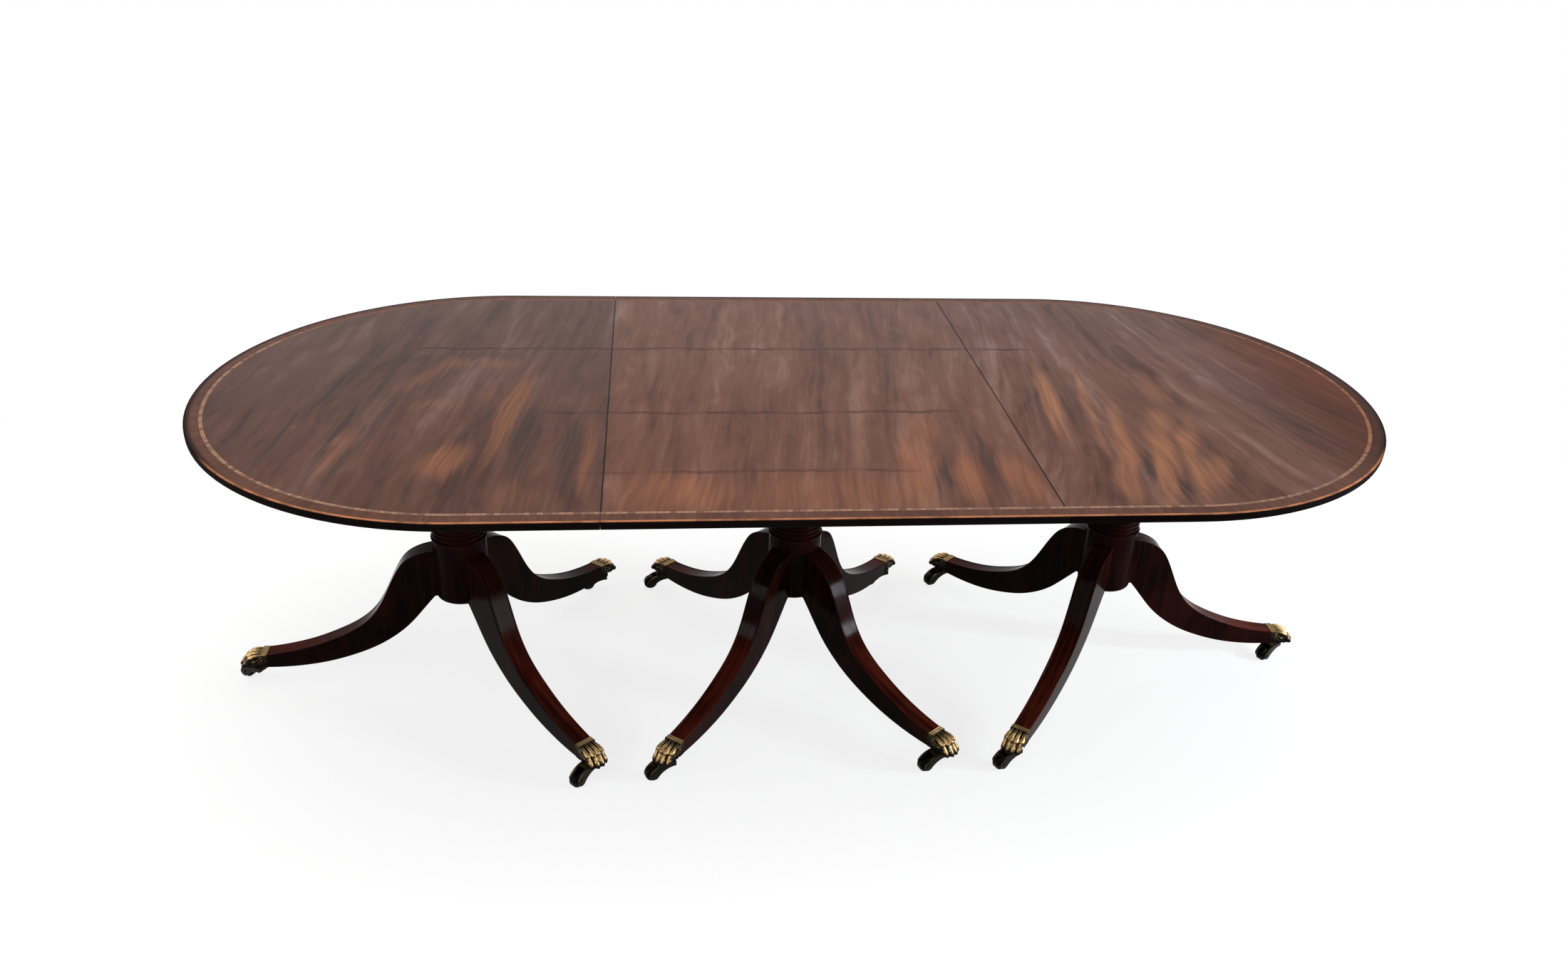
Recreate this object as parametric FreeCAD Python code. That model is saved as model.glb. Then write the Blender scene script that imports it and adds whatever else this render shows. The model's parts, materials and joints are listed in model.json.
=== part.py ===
import FreeCAD, Part
import math
import os

# D-end dining table on three turned pedestals, in millimetres.
# X runs along the table, -Y is the front, +Z is up, and the origin is on the floor under the middle.

V = FreeCAD.Vector
UP = V(0, 0, 1)
ACROSS = V(0, 1, 0)
ORIGIN = V(0, 0, 0)

# Overall sizes
TABLE_HEIGHT = 740.0
TABLE_WIDTH = 1184.0
CENTRE_LENGTH = 830.0
END_STRAIGHT = 250.0
SEAM_GAP = 0.6
EDGE_TOLERANCE = 0.01

# Top boards, with the crossband and the inlaid line let into their outer edges
TOP_THICKNESS = 18.0
TOP_ARRIS = 3.0
UNDER_ARRIS = 5.0
EDGE_LIP = 5.0
CROSSBAND_WIDTH = 22.0
INLAY_WIDTH = 9.0
VENEER_THICKNESS = 1.5
VENEER_CLEARANCE = 0.05

# Bearers and block under each board
BEARER_LENGTH = 600.0
BEARER_WIDTH = 40.0
BEARER_HEIGHT = 26.0
BEARER_TIP_HEIGHT = 12.0
BEARER_TAPER = 90.0
BLOCK_SIDE = 170.0
BLOCK_HEIGHT = 38.0

# Pedestals
PEDESTAL_FROM_SEAM = 342.0
LEG_SPREAD_DEGREES = 52.0
FOOT_RADIUS = 480.0

# Column and its drum
DRUM_RADIUS = 61.0
DRUM_BOTTOM = 233.0
DRUM_HEIGHT = 148.0
DRUM_ROUND = 6.0
COLLAR_HEIGHT = 5.0
COLLAR_BULGE = 1.5
RING_COUNT = 3
RING_RADIUS = 56.0
RING_HEIGHT = 8.0
RING_BULGE = 4.0
RING_GAP = 3.0
NECK_RADIUS = 51.0
VASE_RADIUS = 53.0
ASTRAGAL_HEIGHT = 10.0
ASTRAGAL_BULGE = 5.0
CAPITAL_RADIUS = 64.0
CAPITAL_HEIGHT = 16.0
CAPITAL_BULGE = 5.0
FLARE_HEIGHT = 46.0
FLARE_MIDDLE_SHARES = (0.33, 0.67)
TENON_RADIUS = 22.0
TENON_END_GAP = 2.0
JOINT_CLEARANCE = 0.1

# Turned vase between the rings and the astragal: shares of its radius and of its height
VASE_SHARES = ((0.9, 0.0), (1.0, 0.17), (0.95, 0.38), (0.8, 0.68), (0.7, 1.0))

# Legs
LEG_ROOT_DROP = 28.0
LEG_ROOT_WIDTH = 50.0
LEG_TOE_WIDTH = 38.0
LEG_TOE_HEIGHT = 33.0
LEG_BEAD_WIDTH = 4.5
LEG_BEAD_RISE = 1.0
LEG_BEAD_ROUND = 1.8
LEG_TENON_LENGTH = 15.0
LEG_TENON_INSET = 6.0
DOVETAIL_DEPTH = 20.0
DOVETAIL_NECK_WIDTH = 20.0
DOVETAIL_WIDTH = 28.0
DOVETAIL_HEAD_GAP = 42.0
DOVETAIL_LEAD = 6.0

# Leg outline: shares of its reach from the drum to the toe, and of its rise from the toe to the root
LEG_TOP_SHARES = (
    (0.0, 1.0), (0.086, 0.97), (0.16, 0.91), (0.215, 0.81), (0.26, 0.694), (0.31, 0.563),
    (0.375, 0.441), (0.455, 0.349), (0.58, 0.26), (0.72, 0.187), (0.86, 0.139), (1.0, 0.11),
)
LEG_UNDER_SHARES = (
    (0.0, 0.62), (0.086, 0.485), (0.165, 0.368), (0.26, 0.264), (0.38, 0.17),
    (0.5, 0.105), (0.63, 0.053), (0.76, 0.02), (0.89, 0.003), (1.0, 0.0),
)

# Plate under each drum
PLATE_MARGIN = 11.0
PLATE_THICKNESS = 3.0
PLATE_SCREW_CIRCLE = 26.0
PLATE_SCREW_COUNT = 3

# Paw caps
PAW_COLLAR_LENGTH = 14.0
PAW_COLLAR_WALL = 2.0
PAW_FLOOR = 7.0
PAW_HEEL_REACH = 25.0
PAW_TOE_REACH = 41.0
PAW_TOE_COUNT = 4
PAW_TOE_RADIUS = 7.4
PAW_CLAW_RADIUS = 3.8
PAW_BOSS_RADIUS = 16.0
PAW_BOSS_HEIGHT = 3.0

# Paw outline over its length, from the collar to the claws: shares of its length and of its height
PAW_BACK_SHARES = ((0.0, 1.0), (0.35, 0.98), (0.62, 0.84), (0.8, 0.52))
# Ends of each toe along the same length, and their heights
PAW_KNUCKLE_SHARES = (0.5, 0.76)
PAW_PAD_SHARES = (0.86, 0.28)
PAW_CLAW_SHARES = (0.94, 0.11)

# Castors
WHEEL_RADIUS = 17.0
WHEEL_WIDTH = 18.0
WHEEL_TREAD_ROUND = 4.0
WHEEL_HUB_RADIUS = 6.0
WHEEL_DISH_DEPTH = 1.2
WHEEL_RIM_RADIUS = 11.5
AXLE_RADIUS = 2.5
AXLE_CLEARANCE = 0.05
AXLE_HEAD_RADIUS = 4.0
AXLE_HEAD_HEIGHT = 1.4
CASTOR_TRAIL = 39.0
CASTOR_HEADROOM = 6.0
CHEEK_THICKNESS = 5.0
CHEEK_GAP = 0.8
CHEEK_END_RADIUS = 10.5
CROWN_RADIUS = 15.0
CROWN_THICKNESS = 4.0
CROWN_BRIDGE_DROP = 6.0
FORK_WEB_REACH = 23.0
PINTLE_RADIUS = 5.0
PINTLE_LENGTH = 22.0
SWIVEL_GAP = 0.4

# Middle of the arc along a castor fork's upper and under sides: shares of its trail and of its rise
FORK_TOP_SHARES = (0.86, 0.77)
FORK_UNDER_SHARES = (0.36, 0.35)

# Wood screws
SCREW_RADIUS = 2.2
SCREW_HEAD_RADIUS = 4.6
SCREW_HEAD_HEIGHT = 2.6
SCREW_SLOT_WIDTH = 1.0
SCREW_SLOT_DEPTH = 1.0
SCREW_BITE = 12.0
SCREW_PAIR_SHARES = (-0.25, 0.25)
BEARER_SCREW_SHARES = (-0.4, -0.2, 0.2, 0.4)
BLOCK_SCREW_INSET = 28.0

# Brass forks and sockets that line the sections up at each seam
SEAM_FORK_OFFSET = 330.0
FORK_WIDTH = 62.0
FORK_BODY_LENGTH = 46.0
FORK_THICKNESS = 6.0
FORK_SETBACK = 8.0
TINE_WIDTH = 12.0
TINE_LENGTH = 52.0
SOCKET_LENGTH = 38.0
SOCKET_WALL = 4.0
TINE_CLEARANCE = 0.4

# Which way each castor trails at rest, in degrees from +X
CASTOR_HEADINGS = {
    "left_outer": 150.0, "left_front": 226.0, "left_back": 190.0,
    "centre_front_left": 202.0, "centre_front_right": 203.0,
    "centre_back_left": 188.0, "centre_back_right": 196.0,
    "right_front": 207.0, "right_back": 204.0, "right_outer": 211.0,
}

# Sizes that follow from those above
HALF_WIDTH = TABLE_WIDTH / 2
SEAM_X = CENTRE_LENGTH / 2
PEDESTAL_X = SEAM_X + PEDESTAL_FROM_SEAM
TOP_UNDERSIDE = TABLE_HEIGHT - TOP_THICKNESS
BLOCK_BOTTOM = TOP_UNDERSIDE - BLOCK_HEIGHT
BEARER_BOTTOM = TOP_UNDERSIDE - BEARER_HEIGHT
BEARER_Y = (BLOCK_SIDE + BEARER_WIDTH) / 2
DRUM_TOP = DRUM_BOTTOM + DRUM_HEIGHT
PLATE_RADIUS = DRUM_RADIUS - PLATE_MARGIN
CASTOR_HEIGHT = 2 * WHEEL_RADIUS + CASTOR_HEADROOM
TOE_BOTTOM = CASTOR_HEIGHT + PAW_FLOOR
TOE_TOP = TOE_BOTTOM + LEG_TOE_HEIGHT
LEG_END = FOOT_RADIUS - PAW_HEEL_REACH
LEG_ROOT_TOP = DRUM_TOP - LEG_ROOT_DROP
CROWN_TOP = CASTOR_HEIGHT - SWIVEL_GAP
CROWN_LOW = CROWN_TOP - CROWN_THICKNESS - CROWN_BRIDGE_DROP
CROWN_REACH = CROWN_RADIUS * math.sqrt(0.5)
CHEEK_INNER = WHEEL_WIDTH / 2 + CHEEK_GAP
CHEEK_OUTER = CHEEK_INNER + CHEEK_THICKNESS
SOCKET_HEIGHT = FORK_THICKNESS + TINE_CLEARANCE + SOCKET_WALL

SECTIONS = {
    "left": {"x": -PEDESTAL_X, "seam_sides": (-1,), "legs": {
        "outer": 180.0, "front": -LEG_SPREAD_DEGREES, "back": LEG_SPREAD_DEGREES,
    }},
    "centre": {"x": 0.0, "seam_sides": (-1, 1), "legs": {
        "front_left": LEG_SPREAD_DEGREES - 180.0, "front_right": -LEG_SPREAD_DEGREES,
        "back_left": 180.0 - LEG_SPREAD_DEGREES, "back_right": LEG_SPREAD_DEGREES,
    }},
    "right": {"x": PEDESTAL_X, "seam_sides": (1,), "legs": {
        "outer": 0.0, "front": LEG_SPREAD_DEGREES - 180.0, "back": 180.0 - LEG_SPREAD_DEGREES,
    }},
}


# Small shape helpers

def box(x_low, x_high, y_low, y_high, z_low, z_high):
    return Part.makeBox(x_high - x_low, y_high - y_low, z_high - z_low, V(x_low, y_low, z_low))


def rod(radius, height, base=ORIGIN, axis=UP):
    return Part.makeCylinder(radius, height, base, axis)


def polygon_prism(points, along):
    return Part.Face(Part.makePolygon(points + points[:1])).extrude(along)


def smooth_edge(points):
    curve = Part.BSplineCurve()
    curve.interpolate(points)
    return curve.toShape()


def placed(shape, x=0.0, y=0.0, z=0.0, turn_degrees=0.0):
    copy = shape.copy()
    copy.rotate(ORIGIN, UP, turn_degrees)
    copy.translate(V(x, y, z))
    return copy


def joined(shapes):
    whole = shapes[0].fuse(shapes[1:])
    return whole.removeSplitter()


# Top boards

def end_face_edges(inset):
    # D outline to the right of a seam at x = 0: straight sides, then a half circle
    radius = HALF_WIDTH - inset
    near_front = V(SEAM_GAP / 2, -radius, 0)
    far_front = V(END_STRAIGHT, -radius, 0)
    tip = V(END_STRAIGHT + radius, 0, 0)
    far_back = V(END_STRAIGHT, radius, 0)
    near_back = V(SEAM_GAP / 2, radius, 0)
    return [
        Part.makeLine(near_front, far_front),
        Part.Arc(far_front, tip, far_back).toShape(),
        Part.makeLine(far_back, near_back),
        Part.makeLine(near_back, near_front),
    ]


def end_slab(inset, thickness):
    return Part.Face(Part.Wire(end_face_edges(inset))).extrude(V(0, 0, thickness))


def centre_slab(inset, thickness):
    half_length = SEAM_X - SEAM_GAP / 2
    half_width = HALF_WIDTH - inset
    return box(-half_length, half_length, -half_width, half_width, 0, thickness)


def is_outer_edge(edge, height, seam_lines):
    # an edge of the board at this height that doesn't lie along a seam
    ends = [vertex.Point for vertex in edge.Vertexes]
    level = all(abs(end.z - height) < EDGE_TOLERANCE for end in ends)
    along_seam = any(all(abs(end.x - seam) < EDGE_TOLERANCE for end in ends) for seam in seam_lines)
    return level and not along_seam


def eased_board(slab, seam_lines):
    # top and bottom arrises eased along the outer edge, seams left square
    upper = [edge for edge in slab.Edges if is_outer_edge(edge, TOP_THICKNESS, seam_lines)]
    board = slab.makeFillet(TOP_ARRIS, upper)
    lower = [edge for edge in board.Edges if is_outer_edge(edge, 0, seam_lines)]
    return board.makeFillet(UNDER_ARRIS, lower)


def let_in_strip(slab_of, outer_inset, width, clearance):
    # strip of veneer that follows the outer edge, its upper face at the board's upper face
    outer = slab_of(outer_inset + clearance, VENEER_THICKNESS)
    inner = slab_of(outer_inset + width - clearance, VENEER_THICKNESS)
    strip = outer.cut(inner)
    strip.translate(V(0, 0, TOP_THICKNESS - VENEER_THICKNESS))
    return strip


def top_pieces(slab_of, seam_lines):
    band_inset = EDGE_LIP
    line_inset = EDGE_LIP + CROSSBAND_WIDTH
    board = eased_board(slab_of(0, TOP_THICKNESS), seam_lines)
    board = board.cut(let_in_strip(slab_of, band_inset, CROSSBAND_WIDTH + INLAY_WIDTH, 0))
    crossband = let_in_strip(slab_of, band_inset, CROSSBAND_WIDTH, VENEER_CLEARANCE)
    inlay = let_in_strip(slab_of, line_inset, INLAY_WIDTH, VENEER_CLEARANCE)
    return {"top": board, "crossband": crossband, "inlay": inlay}


# Wood screws, head down at z = 0, shank up

def screw_body(length, clearance):
    head = Part.makeCone(SCREW_HEAD_RADIUS + clearance, SCREW_RADIUS + clearance, SCREW_HEAD_HEIGHT)
    shank = rod(SCREW_RADIUS + clearance, length + clearance)
    return joined([head, shank])


def wood_screw(length):
    half = SCREW_SLOT_WIDTH / 2
    slot = box(-SCREW_HEAD_RADIUS, SCREW_HEAD_RADIUS, -half, half, 0, SCREW_SLOT_DEPTH)
    return screw_body(length, 0).cut(slot)


def bearer_screws(x):
    # each screw as its place, and how thick a piece it passes before it bites
    return [
        (V(x + share * BEARER_LENGTH, side * BEARER_Y, bearer_under(share)), bearer_depth(share))
        for side in (-1, 1) for share in BEARER_SCREW_SHARES
    ]


def block_screws(x):
    corner = BLOCK_SIDE / 2 - BLOCK_SCREW_INSET
    return [
        (V(x + side_x * corner, side_y * corner, BLOCK_BOTTOM), BLOCK_HEIGHT)
        for side_x in (-1, 1) for side_y in (-1, 1)
    ]


def ring_place(x, reach, angle, height):
    return V(x + reach * math.cos(angle), reach * math.sin(angle), height)


def plate_screws(x):
    underside = DRUM_BOTTOM - PLATE_THICKNESS
    turns = [2 * math.pi * number / PLATE_SCREW_COUNT for number in range(PLATE_SCREW_COUNT)]
    return [(ring_place(x, PLATE_SCREW_CIRCLE, turn, underside), PLATE_THICKNESS) for turn in turns]


def paw_screws(x, legs):
    reach = LEG_END + PAW_COLLAR_LENGTH / 2
    underside = TOE_BOTTOM - PAW_COLLAR_WALL
    passed = PAW_COLLAR_WALL + LEG_TENON_INSET
    return [(ring_place(x, reach, math.radians(angle), underside), passed) for angle in legs.values()]


def seam_screws(section):
    # the centre section carries the forks, the ends carry the sockets
    if section == "centre":
        from_seam = -FORK_SETBACK - FORK_BODY_LENGTH / 2
        spread = FORK_WIDTH
        depth = FORK_THICKNESS
    else:
        from_seam = FORK_SETBACK + SOCKET_LENGTH / 2
        spread = FORK_WIDTH - 2 * TINE_WIDTH
        depth = SOCKET_HEIGHT
    reach = SEAM_X + from_seam
    underside = TOP_UNDERSIDE - depth
    return [
        (V(side * reach, row * SEAM_FORK_OFFSET + share * spread, underside), depth)
        for side in SECTIONS[section]["seam_sides"] for row in (-1, 1) for share in SCREW_PAIR_SHARES
    ]


def screw_places(section):
    x = SECTIONS[section]["x"]
    under_board = bearer_screws(x) + block_screws(x) + seam_screws(section)
    return under_board + plate_screws(x) + paw_screws(x, SECTIONS[section]["legs"])


def section_screws(section):
    return [placed(wood_screw(depth + SCREW_BITE), *place) for place, depth in screw_places(section)]


def section_screw_holes(section):
    return [
        placed(screw_body(depth + SCREW_BITE, JOINT_CLEARANCE), *place)
        for place, depth in screw_places(section)
    ]


# Bearers and blocks

def bearer_depth(share):
    # height of a bearer at a share of its length from its middle
    run = BEARER_LENGTH / 2 - abs(share) * BEARER_LENGTH
    if run >= BEARER_TAPER:
        return BEARER_HEIGHT
    return BEARER_TIP_HEIGHT + (BEARER_HEIGHT - BEARER_TIP_HEIGHT) * run / BEARER_TAPER


def bearer_under(share):
    return TOP_UNDERSIDE - bearer_depth(share)


def bearer():
    half = BEARER_LENGTH / 2
    flat = half - BEARER_TAPER
    tip = TOP_UNDERSIDE - BEARER_TIP_HEIGHT
    outline = [
        V(-half, 0, TOP_UNDERSIDE), V(half, 0, TOP_UNDERSIDE), V(half, 0, tip),
        V(flat, 0, BEARER_BOTTOM), V(-flat, 0, BEARER_BOTTOM), V(-half, 0, tip),
    ]
    rail = polygon_prism(outline, V(0, BEARER_WIDTH, 0))
    rail.translate(V(0, -BEARER_WIDTH / 2, 0))
    return rail


def block():
    half = BLOCK_SIDE / 2
    body = box(-half, half, -half, half, BLOCK_BOTTOM, TOP_UNDERSIDE)
    mortise = rod(TENON_RADIUS + JOINT_CLEARANCE, BLOCK_HEIGHT, V(0, 0, BLOCK_BOTTOM))
    return body.cut(mortise)


# Columns

class Turning:
    # outline of a turned piece in the XZ plane, drawn upwards and then spun about Z

    def __init__(self, radius, height):
        self.start = V(radius, 0, height)
        self.here = self.start
        self.edges = []

    def line_to(self, radius, height):
        there = V(radius, 0, height)
        self.edges.append(Part.makeLine(self.here, there))
        self.here = there

    def arc_through(self, middle, there):
        self.edges.append(Part.Arc(self.here, middle, there).toShape())
        self.here = there

    def bead_up(self, height, bulge):
        # round of this height that swells (or, if negative, hollows) by the bulge
        middle = V(self.here.x + bulge, 0, self.here.z + height / 2)
        self.arc_through(middle, V(self.here.x, 0, self.here.z + height))

    def curve_through(self, points):
        self.edges.append(smooth_edge([self.here] + points))
        self.here = points[-1]

    def spun(self):
        self.line_to(0, self.here.z)
        self.line_to(0, self.start.z)
        self.line_to(self.start.x, self.start.z)
        return Part.Face(Part.Wire(self.edges)).revolve(ORIGIN, UP, 360)


def turned_column():
    turning = Turning(DRUM_RADIUS - DRUM_ROUND, DRUM_BOTTOM)
    round_middle = DRUM_ROUND * math.sqrt(0.5)
    corner = V(DRUM_RADIUS - DRUM_ROUND + round_middle, 0, DRUM_BOTTOM + DRUM_ROUND - round_middle)
    round_end = V(DRUM_RADIUS, 0, DRUM_BOTTOM + DRUM_ROUND)
    turning.arc_through(corner, round_end)
    turning.line_to(DRUM_RADIUS, DRUM_TOP)
    # collar, then rings with a hollow below each
    turning.bead_up(COLLAR_HEIGHT, COLLAR_BULGE)
    turning.line_to(RING_RADIUS, turning.here.z)
    for _ in range(RING_COUNT):
        turning.bead_up(RING_GAP, -RING_GAP / 2)
        turning.bead_up(RING_HEIGHT, RING_BULGE)
    turning.line_to(NECK_RADIUS, turning.here.z)
    turning.line_to(NECK_RADIUS, turning.here.z + RING_GAP)
    # vase, astragal, flare and capital
    vase_foot = turning.here.z
    vase_height = BLOCK_BOTTOM - CAPITAL_HEIGHT - FLARE_HEIGHT - ASTRAGAL_HEIGHT - vase_foot
    vase = [V(r * VASE_RADIUS, 0, vase_foot + h * vase_height) for r, h in VASE_SHARES]
    turning.line_to(vase[0].x, vase_foot)
    turning.curve_through(vase[1:])
    turning.bead_up(ASTRAGAL_HEIGHT, ASTRAGAL_BULGE)
    foot = turning.here
    out_share, up_share = FLARE_MIDDLE_SHARES
    middle = V(foot.x + out_share * (CAPITAL_RADIUS - foot.x), 0, foot.z + up_share * FLARE_HEIGHT)
    turning.arc_through(middle, V(CAPITAL_RADIUS, 0, foot.z + FLARE_HEIGHT))
    turning.bead_up(CAPITAL_HEIGHT, CAPITAL_BULGE)
    turning.line_to(TENON_RADIUS, BLOCK_BOTTOM)
    turning.line_to(TENON_RADIUS, TOP_UNDERSIDE - TENON_END_GAP)
    return turning.spun()


def dovetail(clearance):
    # key on a leg at angle 0 that slides up into the drum from below
    inner = DRUM_RADIUS - DOVETAIL_DEPTH - clearance
    outer = DRUM_RADIUS + DOVETAIL_LEAD
    inner_half = DOVETAIL_WIDTH / 2 + clearance
    neck_half = DOVETAIL_NECK_WIDTH / 2 + clearance
    plan = (
        (inner, -inner_half), (DRUM_RADIUS, -neck_half), (outer, -neck_half),
        (outer, neck_half), (DRUM_RADIUS, neck_half), (inner, inner_half),
    )
    outline = [V(x, y, DRUM_BOTTOM) for x, y in plan]
    return polygon_prism(outline, V(0, 0, DRUM_HEIGHT - DOVETAIL_HEAD_GAP + clearance))


def section_column(section):
    angles = SECTIONS[section]["legs"].values()
    slots = [placed(dovetail(JOINT_CLEARANCE), turn_degrees=angle) for angle in angles]
    return placed(turned_column().cut(slots), x=SECTIONS[section]["x"])


def base_plate():
    return rod(PLATE_RADIUS, PLATE_THICKNESS, V(0, 0, DRUM_BOTTOM - PLATE_THICKNESS))


# Legs, made at angle 0 about the column's axis

def leg_points(shares, lowered):
    reach = LEG_END - DRUM_RADIUS
    rise = LEG_ROOT_TOP - TOE_BOTTOM
    return [V(DRUM_RADIUS + along * reach, 0, TOE_BOTTOM + up * rise - lowered) for along, up in shares]


def leg_blank(lowered):
    # side view of the leg, carried into the drum, made wider than any leg
    top = leg_points(LEG_TOP_SHARES, lowered)
    under = leg_points(LEG_UNDER_SHARES, 0)
    heel = DRUM_RADIUS - DOVETAIL_DEPTH
    top_heel = V(heel, 0, top[0].z)
    under_heel = V(heel, 0, under[0].z)
    outline = Part.Wire([
        Part.makeLine(top_heel, top[0]),
        smooth_edge(top),
        Part.makeLine(top[-1], under[-1]),
        smooth_edge(under[::-1]),
        Part.makeLine(under[0], under_heel),
        Part.makeLine(under_heel, top_heel),
    ])
    blank = Part.Face(outline).extrude(V(0, LEG_ROOT_WIDTH, 0))
    blank.translate(V(0, -LEG_ROOT_WIDTH / 2, 0))
    return blank


def leg_plan(narrowed):
    # plan of the leg, tapering from the drum to the toe
    root = LEG_ROOT_WIDTH / 2 - narrowed
    toe = LEG_TOE_WIDTH / 2 - narrowed
    outline = [
        V(0, -root, 0), V(DRUM_RADIUS, -root, 0), V(LEG_END, -toe, 0),
        V(LEG_END, toe, 0), V(DRUM_RADIUS, root, 0), V(0, root, 0),
    ]
    return polygon_prism(outline, V(0, 0, DRUM_TOP))


def rounded_beads(strips):
    # upper arrises of the two edge strips, eased into beads
    reach = LEG_END - DRUM_RADIUS
    long_edges = [edge for edge in strips.Edges if edge.Length > reach and is_upper(edge)]
    return strips.makeFillet(LEG_BEAD_ROUND, long_edges)


def is_upper(edge):
    # true on a long edge of the leg that runs along its upper outline
    middle = edge.valueAt((edge.FirstParameter + edge.LastParameter) / 2)
    top = leg_points(LEG_TOP_SHARES, 0)
    nearest = min(top, key=lambda point: abs(point.x - middle.x))
    return middle.z > nearest.z - LEG_TOE_HEIGHT / 2


def leg():
    panel = leg_blank(LEG_BEAD_RISE).common(leg_plan(LEG_BEAD_WIDTH))
    strips = leg_blank(0).common(leg_plan(0)).cut(leg_plan(LEG_BEAD_WIDTH))
    body = joined([panel, rounded_beads(strips)])
    body = body.cut(rod(DRUM_RADIUS + JOINT_CLEARANCE, DRUM_TOP))
    key = dovetail(0).common(turned_column())
    neck = dovetail(0).common(leg_blank(LEG_BEAD_RISE))
    return joined([body, key, neck, leg_tenon(0)])


def leg_tenon(clearance):
    # tenon on the toe that the paw cap fits over
    half = LEG_TOE_WIDTH / 2 - LEG_TENON_INSET + clearance
    return box(
        LEG_END, LEG_END + LEG_TENON_LENGTH + clearance, -half, half,
        TOE_BOTTOM + LEG_TENON_INSET - clearance, TOE_TOP - LEG_TENON_INSET + clearance,
    )


# Paw caps, made at angle 0 about the column's axis

def paw_point(share_along, share_up):
    length = PAW_TOE_REACH + FOOT_RADIUS - LEG_END - PAW_COLLAR_LENGTH
    height = LEG_TOE_HEIGHT + PAW_FLOOR - PAW_BOSS_HEIGHT
    heel = LEG_END + PAW_COLLAR_LENGTH
    return V(heel + share_along * length, 0, CASTOR_HEIGHT + PAW_BOSS_HEIGHT + share_up * height)


def paw_toe(side):
    # one toe: a round knuckle, a pad and the claw
    knuckle = paw_point(*PAW_KNUCKLE_SHARES)
    pad = paw_point(*PAW_PAD_SHARES)
    claw = paw_point(*PAW_CLAW_SHARES)
    run = pad - knuckle
    toe = joined([
        Part.makeSphere(PAW_TOE_RADIUS, knuckle),
        rod(PAW_TOE_RADIUS, run.Length, knuckle, run),
        Part.makeSphere(PAW_TOE_RADIUS, pad),
        Part.makeSphere(PAW_CLAW_RADIUS, claw),
    ])
    toe.translate(V(0, side, 0))
    return toe


def paw_cap():
    half = LEG_TOE_WIDTH / 2 + PAW_COLLAR_WALL
    heel = LEG_END + PAW_COLLAR_LENGTH
    collar = box(LEG_END, heel, -half, half, TOE_BOTTOM - PAW_COLLAR_WALL, TOE_TOP + PAW_COLLAR_WALL)
    back = [paw_point(*share) for share in PAW_BACK_SHARES]
    sole_front = V(back[-1].x, 0, CASTOR_HEIGHT + PAW_BOSS_HEIGHT)
    sole_heel = V(heel, 0, CASTOR_HEIGHT + PAW_BOSS_HEIGHT)
    outline = Part.Wire([
        smooth_edge(back),
        Part.makeLine(back[-1], sole_front),
        Part.makeLine(sole_front, sole_heel),
        Part.makeLine(sole_heel, back[0]),
    ])
    foot_half = half - PAW_COLLAR_WALL / 2
    foot = Part.Face(outline).extrude(V(0, 2 * foot_half, 0))
    foot.translate(V(0, -foot_half, 0))
    pitch = (2 * foot_half - PAW_TOE_RADIUS) / (PAW_TOE_COUNT - 1)
    first = -pitch * (PAW_TOE_COUNT - 1) / 2
    toes = [paw_toe(first + number * pitch) for number in range(PAW_TOE_COUNT)]
    boss = rod(PAW_BOSS_RADIUS, PAW_BOSS_HEIGHT, V(FOOT_RADIUS, 0, CASTOR_HEIGHT))
    whole = joined([collar, foot, boss] + toes)
    foot_centre = V(FOOT_RADIUS, 0, CASTOR_HEIGHT)
    pintle_bore = rod(PINTLE_RADIUS + AXLE_CLEARANCE, PINTLE_LENGTH + SWIVEL_GAP, foot_centre)
    return whole.cut([leg_tenon(JOINT_CLEARANCE), pintle_bore])


# Castors, made with the swivel axis on Z and the wheel trailing towards +X

def across_axle(radius, low, high):
    # round bar about the wheel's axis
    return rod(radius, high - low, V(CASTOR_TRAIL, low, WHEEL_RADIUS), ACROSS)


def fork_side_view(low, high):
    # solid with the fork's side view, arched from the crown down to the axle
    def at(x, z):
        return V(x, low, z)

    def arc_middle(along, up):
        return at(along * CASTOR_TRAIL, WHEEL_RADIUS + up * (CROWN_TOP - WHEEL_RADIUS))

    eye_out = CHEEK_END_RADIUS * math.sqrt(0.75)
    eye_up = CHEEK_END_RADIUS / 2
    back_top = at(-CROWN_REACH, CROWN_TOP)
    front_top = at(CROWN_REACH, CROWN_TOP)
    eye_top = at(CASTOR_TRAIL + eye_out, WHEEL_RADIUS + eye_up)
    eye_under = at(CASTOR_TRAIL - eye_out, WHEEL_RADIUS - eye_up)
    back_low = at(-CROWN_REACH, CROWN_LOW)
    outline = Part.Wire([
        Part.makeLine(back_top, front_top),
        Part.Arc(front_top, arc_middle(*FORK_TOP_SHARES), eye_top).toShape(),
        Part.makeLine(eye_top, eye_under),
        Part.Arc(eye_under, arc_middle(*FORK_UNDER_SHARES), back_low).toShape(),
        Part.makeLine(back_low, back_top),
    ])
    return Part.Face(outline).extrude(V(0, high - low, 0))


def castor_cheek(side):
    plate = fork_side_view(CHEEK_INNER, CHEEK_OUTER)
    eye = across_axle(CHEEK_END_RADIUS, CHEEK_INNER, CHEEK_OUTER)
    cheek = joined([plate, eye])
    return cheek if side > 0 else cheek.mirror(ORIGIN, ACROSS)


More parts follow.
